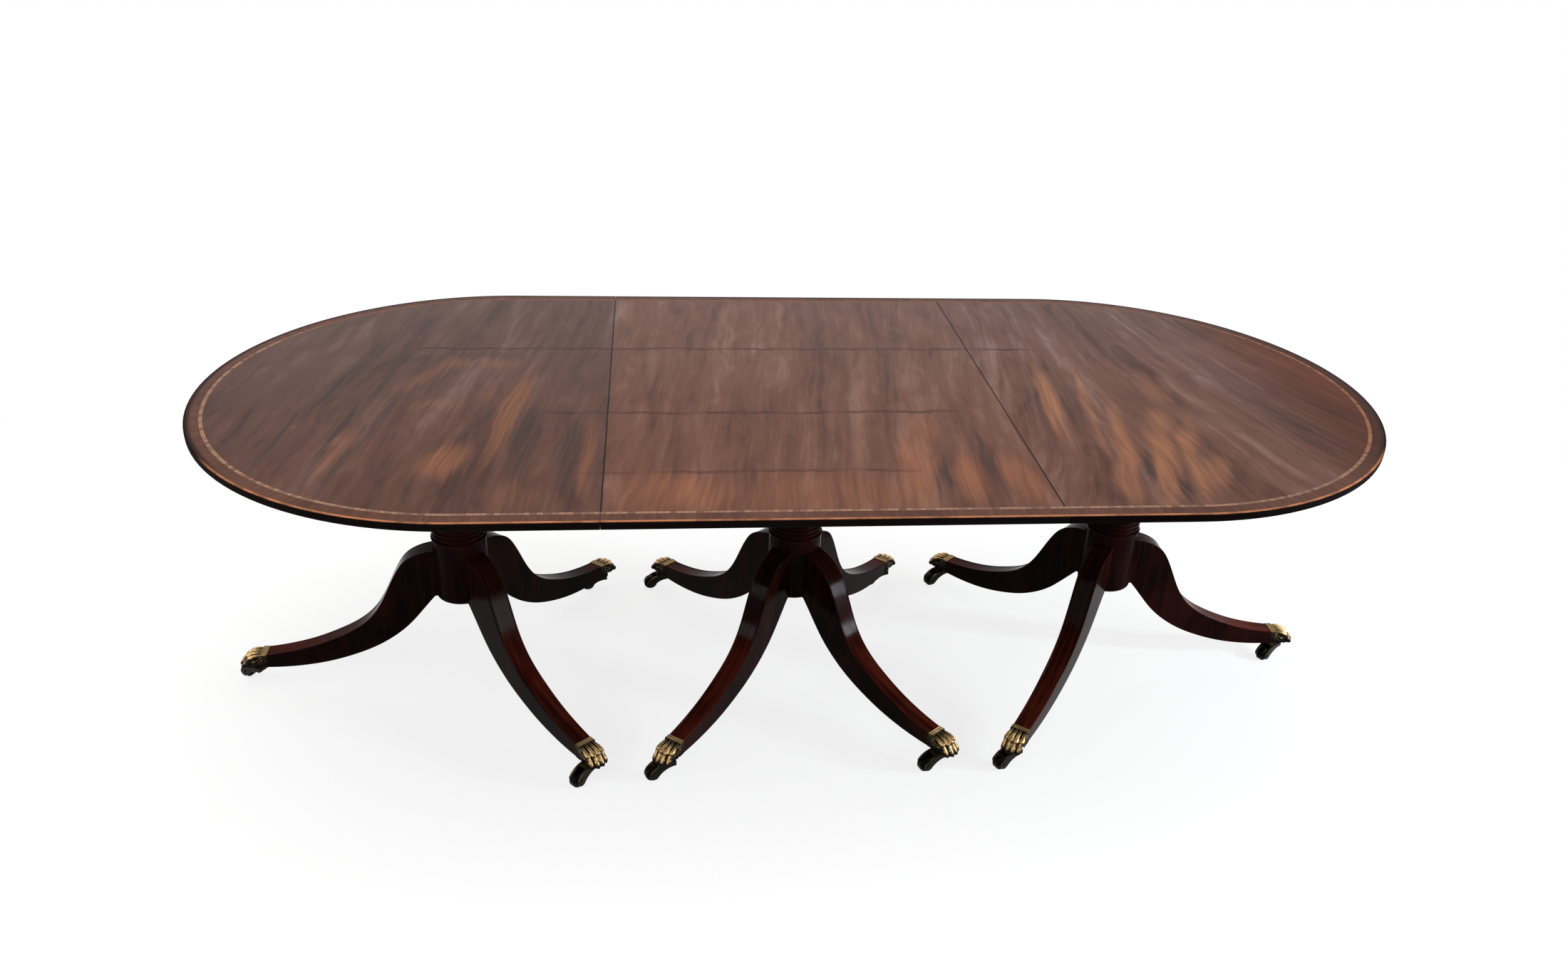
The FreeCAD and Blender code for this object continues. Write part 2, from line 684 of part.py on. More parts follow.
def castor_fork():
    web_room = box(-CROWN_REACH, FORK_WEB_REACH, -CHEEK_INNER, CHEEK_INNER, 0, CROWN_TOP)
    web = fork_side_view(-CHEEK_INNER, CHEEK_INNER).common(web_room)
    crown = rod(CROWN_RADIUS, CROWN_THICKNESS, V(0, 0, CROWN_TOP - CROWN_THICKNESS))
    pintle = rod(PINTLE_RADIUS, PINTLE_LENGTH, V(0, 0, CROWN_TOP))
    whole = joined([crown, web, pintle, castor_cheek(1), castor_cheek(-1)])
    return whole.cut([
        across_axle(AXLE_RADIUS + AXLE_CLEARANCE, -CHEEK_OUTER, CHEEK_OUTER),
        across_axle(WHEEL_RADIUS + CHEEK_GAP, -CHEEK_INNER, CHEEK_INNER),
    ])


def castor_axle():
    head_end = CHEEK_OUTER + AXLE_HEAD_HEIGHT
    return joined([
        across_axle(AXLE_RADIUS, -CHEEK_OUTER, CHEEK_OUTER),
        across_axle(AXLE_HEAD_RADIUS, -head_end, -CHEEK_OUTER),
        across_axle(AXLE_HEAD_RADIUS, CHEEK_OUTER, head_end),
    ])


def castor_wheel():
    # tread with rounded edges, dished faces and a hub, turned about Z and then laid on its axle
    half = WHEEL_WIDTH / 2
    edge = WHEEL_RADIUS - WHEEL_TREAD_ROUND
    flat = half - WHEEL_TREAD_ROUND
    round_middle = WHEEL_TREAD_ROUND * math.sqrt(0.5)
    dish = half - WHEEL_DISH_DEPTH
    bore = AXLE_RADIUS + AXLE_CLEARANCE
    edges = [
        Part.makeLine(V(bore, 0, -half), V(WHEEL_HUB_RADIUS, 0, -half)),
        Part.makeLine(V(WHEEL_HUB_RADIUS, 0, -half), V(WHEEL_HUB_RADIUS, 0, -dish)),
        Part.makeLine(V(WHEEL_HUB_RADIUS, 0, -dish), V(WHEEL_RIM_RADIUS, 0, -dish)),
        Part.makeLine(V(WHEEL_RIM_RADIUS, 0, -dish), V(WHEEL_RIM_RADIUS, 0, -half)),
        Part.makeLine(V(WHEEL_RIM_RADIUS, 0, -half), V(edge, 0, -half)),
        Part.Arc(
            V(edge, 0, -half), V(edge + round_middle, 0, -flat - round_middle), V(WHEEL_RADIUS, 0, -flat)
        ).toShape(),
        Part.makeLine(V(WHEEL_RADIUS, 0, -flat), V(WHEEL_RADIUS, 0, flat)),
        Part.Arc(
            V(WHEEL_RADIUS, 0, flat), V(edge + round_middle, 0, flat + round_middle), V(edge, 0, half)
        ).toShape(),
        Part.makeLine(V(edge, 0, half), V(WHEEL_RIM_RADIUS, 0, half)),
        Part.makeLine(V(WHEEL_RIM_RADIUS, 0, half), V(WHEEL_RIM_RADIUS, 0, dish)),
        Part.makeLine(V(WHEEL_RIM_RADIUS, 0, dish), V(WHEEL_HUB_RADIUS, 0, dish)),
        Part.makeLine(V(WHEEL_HUB_RADIUS, 0, dish), V(WHEEL_HUB_RADIUS, 0, half)),
        Part.makeLine(V(WHEEL_HUB_RADIUS, 0, half), V(bore, 0, half)),
        Part.makeLine(V(bore, 0, half), V(bore, 0, -half)),
    ]
    wheel = Part.Face(Part.Wire(edges)).revolve(ORIGIN, UP, 360)
    wheel.rotate(ORIGIN, V(1, 0, 0), 90)
    wheel.translate(V(CASTOR_TRAIL, 0, WHEEL_RADIUS))
    return wheel


# Seam hardware, made for a seam at x = 0 with the end section towards +X

def seam_fork():
    low = TOP_UNDERSIDE - FORK_THICKNESS
    half = FORK_WIDTH / 2
    body = box(-FORK_SETBACK - FORK_BODY_LENGTH, -FORK_SETBACK, -half, half, low, TOP_UNDERSIDE)
    tine_top = TOP_UNDERSIDE - TINE_CLEARANCE
    tines = [
        box(-FORK_SETBACK, TINE_LENGTH - FORK_SETBACK, inner, inner + TINE_WIDTH, low, tine_top)
        for inner in (-half, half - TINE_WIDTH)
    ]
    return joined([body] + tines)


def seam_socket():
    low = TOP_UNDERSIDE - SOCKET_HEIGHT
    far = FORK_SETBACK + SOCKET_LENGTH
    half = FORK_WIDTH / 2
    outer = half + SOCKET_WALL + TINE_CLEARANCE
    body = box(FORK_SETBACK, far, -outer, outer, low, TOP_UNDERSIDE)
    tunnel_width = TINE_WIDTH + 2 * TINE_CLEARANCE
    tunnels = [
        box(0, far, side, side + tunnel_width, low + SOCKET_WALL, TOP_UNDERSIDE)
        for side in (-half - TINE_CLEARANCE, half + TINE_CLEARANCE - tunnel_width)
    ]
    return body.cut(tunnels)


def at_seam(shape, seam_side, row_side):
    # one piece of seam hardware at the left or right seam, in the front or back row
    turned = placed(shape, turn_degrees=0.0 if seam_side > 0 else 180.0)
    turned.translate(V(seam_side * SEAM_X, row_side * SEAM_FORK_OFFSET, 0))
    return turned


def seam_hardware(section, shape):
    holes = section_screw_holes(section)
    sides = SECTIONS[section]["seam_sides"]
    return Part.makeCompound([at_seam(shape, side, row).cut(holes) for side in sides for row in (-1, 1)])


# Assembly

def board_for(section):
    # top board, crossband and inlay of one section, still on the floor plane
    if section == "centre":
        edge = SEAM_X - SEAM_GAP / 2
        return top_pieces(centre_slab, (-edge, edge)), 0.0, 0.0
    turn = 0.0 if section == "right" else 180.0
    return top_pieces(end_slab, (SEAM_GAP / 2,)), turn, SEAM_X if section == "right" else -SEAM_X


def section_pieces(section):
    x = SECTIONS[section]["x"]
    legs = SECTIONS[section]["legs"]
    holes = section_screw_holes(section)
    pieces, turn, seam = board_for(section)
    pieces = {name: placed(piece, seam, 0, TOP_UNDERSIDE, turn) for name, piece in pieces.items()}
    pieces["top"] = pieces["top"].cut(holes)
    rails = [placed(bearer(), x, side * BEARER_Y) for side in (-1, 1)]
    pieces["bearers"] = Part.makeCompound([rail.cut(holes) for rail in rails])
    pieces["block"] = placed(block(), x).cut(holes)
    pieces["column"] = section_column(section).cut(holes)
    pieces["base_plate"] = placed(base_plate(), x).cut(holes)
    pieces["screws"] = Part.makeCompound(section_screws(section))
    caps = [placed(PAW_CAP, x, turn_degrees=angle) for angle in legs.values()]
    pieces["paw_caps"] = Part.makeCompound([cap.cut(holes) for cap in caps])
    for name, angle in legs.items():
        pieces[name + "_leg"] = placed(LEG, x, turn_degrees=angle).cut(holes)
    return pieces


def castor_pieces(section):
    pieces = {}
    for name, angle_degrees in SECTIONS[section]["legs"].items():
        angle = math.radians(angle_degrees)
        x = SECTIONS[section]["x"] + FOOT_RADIUS * math.cos(angle)
        y = FOOT_RADIUS * math.sin(angle)
        heading = CASTOR_HEADINGS[section + "_" + name]
        fork = Part.makeCompound([castor_fork(), castor_axle()])
        pieces[name + "_castor_fork"] = placed(fork, x, y, turn_degrees=heading)
        pieces[name + "_castor_wheel"] = placed(castor_wheel(), x, y, turn_degrees=heading)
    return pieces


LEG = leg()
PAW_CAP = paw_cap()

nodes = {}
for section_name in SECTIONS:
    for piece_name, piece_shape in section_pieces(section_name).items():
        nodes[section_name + "_" + piece_name] = piece_shape
    for piece_name, piece_shape in castor_pieces(section_name).items():
        nodes[section_name + "_" + piece_name] = piece_shape
nodes["seam_forks"] = seam_hardware("centre", seam_fork())
for section_name in ("left", "right"):
    nodes[section_name + "_seam_sockets"] = seam_hardware(section_name, seam_socket())

os.makedirs("parts", exist_ok=True)
for node_name, node_shape in nodes.items():
    node_shape.exportStep("parts/" + node_name + ".step")
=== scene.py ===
import bmesh
import bpy
import json
import math
from mathutils import Color, Matrix, Vector


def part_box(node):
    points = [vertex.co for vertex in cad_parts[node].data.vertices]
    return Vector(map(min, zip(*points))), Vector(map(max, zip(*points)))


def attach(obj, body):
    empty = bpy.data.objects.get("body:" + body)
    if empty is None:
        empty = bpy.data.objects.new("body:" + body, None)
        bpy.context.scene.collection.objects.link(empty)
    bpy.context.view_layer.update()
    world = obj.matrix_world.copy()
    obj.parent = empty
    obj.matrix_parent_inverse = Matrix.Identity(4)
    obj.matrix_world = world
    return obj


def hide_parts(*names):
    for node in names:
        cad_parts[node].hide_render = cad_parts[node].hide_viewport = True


# Long dining table with rounded ends: figured mahogany top, dark pedestals, brass paws on castors.
# Lengths are in metres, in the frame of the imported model.

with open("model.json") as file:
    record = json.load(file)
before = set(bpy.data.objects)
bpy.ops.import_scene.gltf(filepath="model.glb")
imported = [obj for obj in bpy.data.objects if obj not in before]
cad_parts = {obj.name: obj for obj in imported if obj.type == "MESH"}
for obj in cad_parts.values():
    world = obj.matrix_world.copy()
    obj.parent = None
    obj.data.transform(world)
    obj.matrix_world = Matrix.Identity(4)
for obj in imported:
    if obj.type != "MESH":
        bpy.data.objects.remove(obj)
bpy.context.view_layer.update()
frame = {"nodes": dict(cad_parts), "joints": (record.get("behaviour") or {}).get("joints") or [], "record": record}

# Picture and camera, as fitted to the photograph
IMAGE_WIDTH = 2200
CAMERA_PLACE = Vector((-0.3229, -2.4492, 1.7764))
CAMERA_YAW = math.radians(6.808)
CAMERA_PITCH = math.radians(-27.43)
CAMERA_ROLL = math.radians(2.588)
CAMERA_FOCAL_PIXELS = 1727.2
SENSOR_WIDTH_MM = 36.0

# Stage
WHITE = (1.0, 1.0, 1.0, 1.0)
BACKGROUND_STRENGTH = 1.0
WORLD_FILL = 0.4
FLOOR_HALF = 30.0
FLOOR_SHADED = (0.98, 0.98, 0.98, 1.0)
FLOOR_BOUNCE = (0.12, 0.12, 0.12, 1.0)
# Share of the floor's shadow that shows, and where it dies away outside the table's outline
FLOOR_SHADOW_SHARE = 0.2
FLOOR_SHADOW_REACH = (1.2, 2.6)

# Lamps: place, size across and up, power in watts, colour, and the point that each faces
LAMPS = {
    "overhead": ((-0.3, 0.3, 3.4), (4.2, 2.6), 150.0, (1.0, 0.98, 0.95), (0.0, 0.0, 0.5)),
    "window": ((3.0, -0.85, 1.0), (0.13, 0.5), 62.0, (0.86, 0.92, 1.0), (0.0, -0.1, 0.4)),
    "side_window": ((3.0, -1.95, 1.2), (0.25, 0.7), 24.0, (0.94, 0.97, 1.0), (-0.6, -0.2, 0.3)),
    "far_window": ((-3.0, -1.4, 1.5), (0.25, 0.7), 11.0, (0.94, 0.97, 1.0), (-0.1, -0.2, 0.3)),
    "back_window": ((3.0, 1.4, 0.8), (0.06, 0.2), 8.0, (0.94, 0.97, 1.0), (0.0, 0.0, 0.4)),
    "front_fill": ((-2.6, -3.6, 2.2), (1.6, 1.6), 30.0, (1.0, 0.97, 0.94), (-0.2, 0.0, 0.5)),
}

# The table's own places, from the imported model
SECTIONS = ("left", "centre", "right")
JOINTS = {joint["name"]: joint for joint in frame["joints"]}
SEAM_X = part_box("centre_top")[1].x
HALF_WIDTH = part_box("centre_top")[1].y
END_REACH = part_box("right_top")[1].x
ROUND_START = END_REACH - HALF_WIDTH
BAND_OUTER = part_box("centre_crossband")[1].y
INLAY_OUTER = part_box("centre_inlay")[1].y
COLUMN_X = (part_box("right_column")[0].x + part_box("right_column")[1].x) / 2

# Values that materials share: a pixel's largest value, a noise's middle and usual spread, finding of edges and
# hollows
PIXEL_MAX = 255
NOISE_MIDDLE = 0.5
NOISE_SPREAD = (0.3, 0.7)
EDGE_SAMPLES = 4
EDGE_MATCH = (0.995, 0.85)
HOLLOW_SAMPLES = 8


def srgb(red, green, blue):
    # linear colour with alpha, from the values of a picture's pixel
    shares = [value / PIXEL_MAX for value in (red, green, blue)]
    linear = Color(shares).from_srgb_to_scene_linear()
    return (linear.r, linear.g, linear.b, 1.0)


class Paint:
    # one material, with short calls that add nodes to it and return their outputs

    # Socket numbers of a colour mix
    MIX_SHARE, MIX_FIRST, MIX_SECOND, MIX_RESULT = 0, 6, 7, 2

    def __init__(self, name):
        self.material = bpy.data.materials.new(name)
        self.material.use_nodes = True
        self.nodes = self.material.node_tree.nodes
        self.links = self.material.node_tree.links
        self.shader = self.nodes["Principled BSDF"]

    def feed(self, socket, value):
        if isinstance(value, bpy.types.NodeSocket):
            self.links.new(value, socket)
        else:
            socket.default_value = value

    def add(self, kind, feeds=None, **settings):
        node = self.nodes.new(kind)
        for name, value in settings.items():
            setattr(node, name, value)
        for key, value in (feeds or {}).items():
            self.feed(node.inputs[key], value)
        return node

    def calc(self, operation, *values):
        return self.add("ShaderNodeMath", dict(enumerate(values)), operation=operation).outputs[0]

    def chain(self, operation, values):
        result = values[0]
        for value in values[1:]:
            result = self.calc(operation, result, value)
        return result

    def total(self, *values):
        return self.chain("ADD", values)

    def product(self, *values):
        return self.chain("MULTIPLY", values)

    def capped(self, value):
        return self.calc("MINIMUM", value, 1.0)

    def length(self, *sides):
        return self.calc("SQRT", self.total(*[self.product(side, side) for side in sides]))

    def past(self, value, start):
        # how far a value of either sign lies past this distance from zero
        return self.calc("MAXIMUM", self.calc("SUBTRACT", self.calc("ABSOLUTE", value), start), 0.0)

    def fade(self, value, start, end, low=0.0, high=1.0):
        # smooth step from low to high as the value goes from start to end
        feeds = {"Value": value, "From Min": start, "From Max": end, "To Min": low, "To Max": high}
        return self.add("ShaderNodeMapRange", feeds, interpolation_type="SMOOTHSTEP").outputs[0]

    def noise(self, vector, scale=1.0, detail=3.0, roughness=0.55, distortion=0.0):
        feeds = {
            "Vector": vector, "Scale": scale, "Detail": detail,
            "Roughness": roughness, "Distortion": distortion,
        }
        return self.add("ShaderNodeTexNoise", feeds).outputs["Fac"]

    def grain(self, place, per_metre, **settings):
        # noise over coordinates multiplied by how many features fit in a metre along each
        stretched = [self.product(*pair) for pair in zip(place, per_metre)]
        return self.noise(self.vector(*stretched), **settings)

    def tone(self, place, grains):
        # sum of several grains, each by its share, and the grains themselves by name
        found = {name: self.grain(place, **settings) for name, (share, settings) in grains.items()}
        parts = [self.product(found[name], share) for name, (share, settings) in grains.items()]
        return self.total(*parts), found

    def nudged(self, value, noise, reach):
        # value moved either way by a noise, within this reach
        return self.calc("MULTIPLY_ADD", self.calc("SUBTRACT", noise, NOISE_MIDDLE), reach, value)

    def mix(self, share, first, second, blend="MIX"):
        feeds = {self.MIX_SHARE: share, self.MIX_FIRST: first, self.MIX_SECOND: second}
        node = self.add("ShaderNodeMix", data_type="RGBA", blend_type=blend)
        for index, value in feeds.items():
            self.feed(node.inputs[index], value)
        return node.outputs[self.MIX_RESULT]

    def xyz(self, source="Object"):
        # the three coordinates of the place, or of the normal, in the piece's own frame
        vector = self.add("ShaderNodeTexCoord").outputs[source]
        parts = self.add("ShaderNodeSeparateXYZ", {"Vector": vector})
        return [parts.outputs[axis] for axis in "XYZ"]

    def facing_up(self):
        return self.xyz("Normal")[2]

    def vector(self, x, y, z=0.0):
        return self.add("ShaderNodeCombineXYZ", {"X": x, "Y": y, "Z": z}).outputs[0]

    def sharp_edge_share(self, radius):
        # 1 along sharp edges, fading out this far from them
        rounded = self.add("ShaderNodeBevel", {"Radius": radius}, samples=EDGE_SAMPLES).outputs["Normal"]
        flat = self.add("ShaderNodeNewGeometry").outputs["Normal"]
        match = self.add("ShaderNodeVectorMath", {0: rounded, 1: flat}, operation="DOT_PRODUCT")
        return self.fade(match.outputs["Value"], *EDGE_MATCH)

    def hollow(self, reach):
        # 1 in the open, falling in corners and hollows within this reach
        node = self.add("ShaderNodeAmbientOcclusion", {"Distance": reach}, samples=HOLLOW_SAMPLES)
        return node.outputs["AO"]

    def surface(self, **inputs):
        for name, value in inputs.items():
            self.feed(self.shader.inputs[name.replace("_", " ").title().replace("Ior", "IOR")], value)

    def bump(self, height, strength, distance):
        feeds = {"Height": height, "Strength": strength, "Distance": distance}
        self.feed(self.shader.inputs["Normal"], self.add("ShaderNodeBump", feeds).outputs[0])


# Mahogany of the top

FIELD_DARK = srgb(58, 29, 21)
FIELD_MIDDLE = srgb(92, 54, 41)
FIELD_LIGHT = srgb(117, 79, 66)
FLAME = srgb(146, 86, 54)
STREAK = srgb(52, 35, 31)
EDGE_DARK = srgb(10, 4, 3)
EDGE_WEAR_AND_HIGHLIGHT = srgb(156, 101, 70)
LIP_SHADE = srgb(20, 4, 3)
UNDERSIDE = srgb(88, 58, 42)

# Stain of each board, as multipliers of its colours, and its shine, lowest on the right board, under the painted
# dark reflection at the right end
BOARD_STAINS = {
    "left": (0.54, 0.63, 0.71, 1.0), "centre": (0.76, 0.84, 0.86, 1.0), "right": (0.82, 1.06, 1.24, 1.0),
}
BOARD_SHINE = {"left": 0.06, "centre": 0.06, "right": 0.03}

# Painted reflections: a cool grey sheen that deepens towards the back, along Y, and a dark reflection towards the
# right end, along X
BACK_SHEEN = (0.94, 1.06, 1.18, 1.0)
BACK_SHEEN_START = (-0.3, 0.5)
RIGHT_END_REFLECTION = (0.74, 0.35, 0.16, 1.0)
RIGHT_END_REFLECTION_START = (0.94, 1.16)

# How the grain leans in each section (sideways per metre along Y), at its seam and further out
GRAIN_LEANS = {"left": (0.10, 0.15), "centre": (0.12, 0.12), "right": (0.2, -0.45)}
WANDER = {"scale": 3.2, "detail": 2.0}
WANDER_REACH = 0.05

# Grains that make up the tone of the field: share, features per metre across and along, and noise settings
FIELD_GRAINS = {
    "broad": (0.40, {"per_metre": (13.0, 1.2), "distortion": 0.6}),
    "ribbon": (0.22, {"per_metre": (52.0, 2.6), "detail": 4.0, "distortion": 0.4}),
    "mottle": (0.26, {"per_metre": (24.0, 7.0), "distortion": 0.8}),
    "fine": (0.12, {"per_metre": (420.0, 14.0), "detail": 5.0, "roughness": 0.7}),
}
STRAND = {"per_metre": (110.0, 3.2), "detail": 4.0, "roughness": 0.6, "distortion": 0.15}
PORES = {"per_metre": (1500.0, 45.0), "detail": 2.0}

# Fades of the field: where each starts and ends in its noise, and its share at both ends if not 0 and 1
TONE_TO_MIDDLE = (0.34, 0.52)
TONE_TO_LIGHT = (0.5, 0.66)
STRAND_LIGHT = (0.5, 0.62, 0.0, 0.12)
STRAND_DARK = (0.48, 0.36, 0.0, 0.14)
FLAME_IN_STRANDS = (0.36, 0.62, 0.4, 0.85)
STREAK_IN_STRANDS = (0.42, 0.6, 0.9, 0.3)
PORE_SHADE = (0.56, 0.72, 0.0, 0.35)

# Places of warm flame and of dark streak in the figure: x, y, half width, half length, lean, strength
FLAMES = {
    "left": (
        (-0.710, -0.355, 0.042, 0.080, 0.10, 1.0), (-0.612, -0.150, 0.030, 0.220, 0.10, 0.95),
        (-0.672, -0.060, 0.020, 0.070, 0.13, 0.5), (-0.805, 0.060, 0.034, 0.100, 0.60, 0.4),
        (-0.680, 0.135, 0.100, 0.030, 0.0, 0.35), (-0.765, -0.090, 0.050, 0.028, 1.00, 0.35),
        (-0.912, -0.305, 0.018, 0.125, 0.23, 0.6), (-0.443, -0.340, 0.018, 0.190, 0.0, 0.6),
        (-0.570, -0.500, 0.060, 0.060, 0.0, 0.35),
    ),
    "centre": (
        (0.172, -0.400, 0.036, 0.160, 0.10, 0.6), (0.270, -0.440, 0.030, 0.120, 0.10, 0.6),
        (0.366, -0.440, 0.035, 0.130, -0.10, 0.6), (-0.290, -0.490, 0.110, 0.090, 0.0, 0.5),
        (-0.020, -0.500, 0.240, 0.090, 0.0, 0.3), (0.225, -0.215, 0.026, 0.080, 0.14, 0.4),
    ),
    "right": (
        (0.525, -0.092, 0.022, 0.205, 0.10, 0.85), (0.603, -0.100, 0.010, 0.260, 0.17, 0.6),
        (0.610, -0.300, 0.022, 0.240, 0.22, 0.8), (0.685, -0.330, 0.034, 0.230, 0.32, 0.85),
        (0.740, -0.350, 0.022, 0.200, 0.26, 0.8), (0.762, -0.430, 0.030, 0.080, 0.36, 0.7),
        (0.782, -0.020, 0.036, 0.080, 0.10, 0.35), (0.560, -0.460, 0.020, 0.080, 0.10, 0.35),
    ),
}
STREAKS = {
    "left": (
        (-0.572, -0.260, 0.026, 0.180, 0.0, 0.8), (-0.484, -0.320, 0.021, 0.160, 0.02, 0.8),
        (-0.780, 0.160, 0.070, 0.060, 3.00, 0.6), (-0.917, -0.180, 0.014, 0.360, 0.14, 0.9),
        (-1.000, -0.100, 0.020, 0.320, 0.20, 0.8), (-0.878, -0.236, 0.011, 0.280, 0.15, 0.7),
        (-0.905, 0.330, 0.016, 0.180, 0.17, 0.6),
    ),
    "centre": (
        (0.183, -0.060, 0.018, 0.220, 0.14, 0.7), (0.020, -0.276, 0.022, 0.090, 0.13, 0.6),
        (0.095, -0.066, 0.009, 0.240, 0.12, 0.5), (0.220, -0.440, 0.018, 0.120, 0.17, 0.9),
        (0.316, -0.330, 0.018, 0.200, 0.0, 0.7), (-0.323, 0.010, 0.032, 0.120, 0.0, 0.4),
        (-0.283, -0.336, 0.014, 0.120, 0.08, 0.4),
    ),
    "right": (
        (0.628, -0.400, 0.020, 0.100, 0.43, 0.9), (0.656, -0.495, 0.018, 0.060, 0.34, 0.9),
        (0.575, -0.080, 0.018, 0.160, 0.15, 0.5), (0.478, -0.200, 0.030, 0.250, 0.10, 0.4),
        (1.130, -0.250, 0.200, 0.400, -0.30, 0.6),
    ),
}
PATCH_SOFTNESS = (1.3, 0.3)

# How the edges of flames and streaks sway, and run out in tongues along the grain
SWAY = {"per_metre": (12.0, 3.5), "detail": 2.0}
SWAY_REACH = 0.05
TONGUE = {"per_metre": (55.0, 2.4), "detail": 4.0, "distortion": 0.3}
TONGUE_REACH = 0.16

# Painted reflection of faint wavy dark lines across the top: y, first x, last x, strength
REFLECTED_LINES = ((0.221, -0.92, 0.62, 0.95), (-0.138, -0.60, 0.36, 0.9), (-0.405, -0.50, 0.22, 0.6))
REFLECTED_LINE_DARK = srgb(56, 22, 16)
REFLECTED_LINE_HALF = 0.0095
REFLECTED_LINE_RUNOUT = 0.12
REFLECTED_LINE_WAVE = {"scale": 9.0, "detail": 4.0}
REFLECTED_LINE_WAVE_REACH = 0.036
REFLECTED_LINE_WAXING = {"scale": 13.0, "detail": 2.0}
REFLECTED_LINE_WAXING_SHARE = (0.3, 0.6, 0.35, 1.0)

# Seams, and the lip round the top, whose wear with a painted highlight along the front gives way to painted shade
# towards the back, along Y
SEAM_SHADE = 0.0022
SEAM_DARKNESS = 0.9
EDGE_LIP = 0.005
LIP_FULL_SHARE = 0.8
LIP_DULLING = 0.6
LIP_FRONT_END = (-0.42, -0.31)
LIP_MOTTLE = {"scale": 26.0}
LIP_MOTTLE_SHARE = (0.3, 0.6, 0.3, 1.0)
# The edge's sides take the dark stain with painted shade, and the underside its bare wood, by how they face
EDGE_SLOPE = (0.75, 0.35)
UNDERSIDE_SLOPE = (-0.8, -0.95)

# Polish of the top: roughness from least to most, and the relief's strength and depth
TOP_CLOUD = {"scale": 7.0, "detail": 4.0}
TOP_ROUGHNESS = (0.29, 0.33)
TOP_BUMP = (0.12, 0.0004)
FINE_BUMP_SHARE = 0.6


def grain_place(paint, lean_at_seam, lean_outside):
    # place, and the distance across the grain, which fans out from the seam and wanders a little
    x, y, z = paint.xyz()
    turn = paint.calc("DIVIDE", paint.past(x, SEAM_X), END_REACH - SEAM_X)
    lean = paint.calc("MULTIPLY_ADD", turn, lean_outside - lean_at_seam, lean_at_seam)
    leaning = paint.calc("SUBTRACT", x, paint.product(lean, y))
    across = paint.nudged(leaning, paint.noise(paint.vector(x, y, z), **WANDER), WANDER_REACH)
    return x, y, across


def brushed_place(paint, x, y, across):
    # place nudged so that the edges of the figure sway and run out in tongues along the grain
    swayed = paint.nudged(x, paint.grain((across, y), **SWAY), SWAY_REACH)
    drawn = paint.nudged(y, paint.grain((across, y), **TONGUE), TONGUE_REACH)
    return swayed, drawn


def patch(paint, x, y, spot):
    # ellipse with soft edges that leans with the grain
    place_x, place_y, half_width, half_length, lean, strength = spot
    down = paint.calc("SUBTRACT", y, place_y)
    over = paint.calc("SUBTRACT", paint.calc("SUBTRACT", x, place_x), paint.product(down, lean))
    reach = paint.length(paint.calc("DIVIDE", over, half_width), paint.calc("DIVIDE", down, half_length))
    return paint.fade(reach, *PATCH_SOFTNESS, 0.0, strength)


def patches(paint, x, y, spots):
    return paint.capped(paint.total(*[patch(paint, x, y, spot) for spot in spots]))


def reflected_lines(paint, x, y):
    # painted reflection of dark hairlines that waver across the boards and fade out at their ends
    found = []
    for line_y, first_x, last_x, strength in REFLECTED_LINES:
        place = paint.vector(x, line_y)
        level = paint.nudged(line_y, paint.noise(place, **REFLECTED_LINE_WAVE), REFLECTED_LINE_WAVE_REACH)
        off = paint.calc("ABSOLUTE", paint.calc("SUBTRACT", y, level))
        inside = paint.fade(off, REFLECTED_LINE_HALF, 0.0, 0.0, strength)
        waxing = paint.fade(paint.noise(place, **REFLECTED_LINE_WAXING), *REFLECTED_LINE_WAXING_SHARE)
        begun = paint.fade(x, first_x, first_x + REFLECTED_LINE_RUNOUT)
        unfinished = paint.fade(x, last_x, last_x - REFLECTED_LINE_RUNOUT)
        found.append(paint.product(inside, waxing, begun, unfinished))
    return paint.total(*found)


def field_colour(paint, section, x, y, across):
    # tones of the grain, then flames and streaks, pores, and the painted reflection of dark lines
    place = (across, y)
    tone, grains = paint.tone(place, FIELD_GRAINS)
    ground = paint.mix(paint.fade(tone, *TONE_TO_MIDDLE), FIELD_DARK, FIELD_MIDDLE)
    ground = paint.mix(paint.fade(tone, *TONE_TO_LIGHT), ground, FIELD_LIGHT)
    strand = paint.grain(place, **STRAND)
    ground = paint.mix(paint.fade(strand, *STRAND_LIGHT), ground, FIELD_LIGHT)
    ground = paint.mix(paint.fade(strand, *STRAND_DARK), ground, FIELD_DARK)
    brushed = brushed_place(paint, x, y, across)
    warm = paint.product(patches(paint, *brushed, FLAMES[section]), paint.fade(strand, *FLAME_IN_STRANDS))
    ground = paint.mix(warm, ground, FLAME)
    dark = paint.product(patches(paint, *brushed, STREAKS[section]), paint.fade(strand, *STREAK_IN_STRANDS))
    ground = paint.mix(dark, ground, STREAK)
    pores = paint.grain(place, **PORES)
    ground = paint.mix(paint.fade(pores, *PORE_SHADE), ground, FIELD_DARK)
    # painted reflection of dark lines
    ground = paint.mix(reflected_lines(paint, x, y), ground, REFLECTED_LINE_DARK)
    return ground, grains["fine"], pores


def edge_place(paint):
    # distance along the table's outline, how far out from its middle line, and 1 at the back or -1 in front
    x, y, _ = paint.xyz()
    past = paint.past(x, ROUND_START)
    side = paint.calc("ABSOLUTE", y)
    straight = paint.calc("MINIMUM", paint.calc("ABSOLUTE", x), ROUND_START)
    bend = paint.product(paint.calc("ARCTAN2", past, side), HALF_WIDTH)
    along = paint.product(paint.total(straight, bend), paint.calc("SIGN", x))
    return along, paint.length(past, side), paint.calc("SIGN", y)


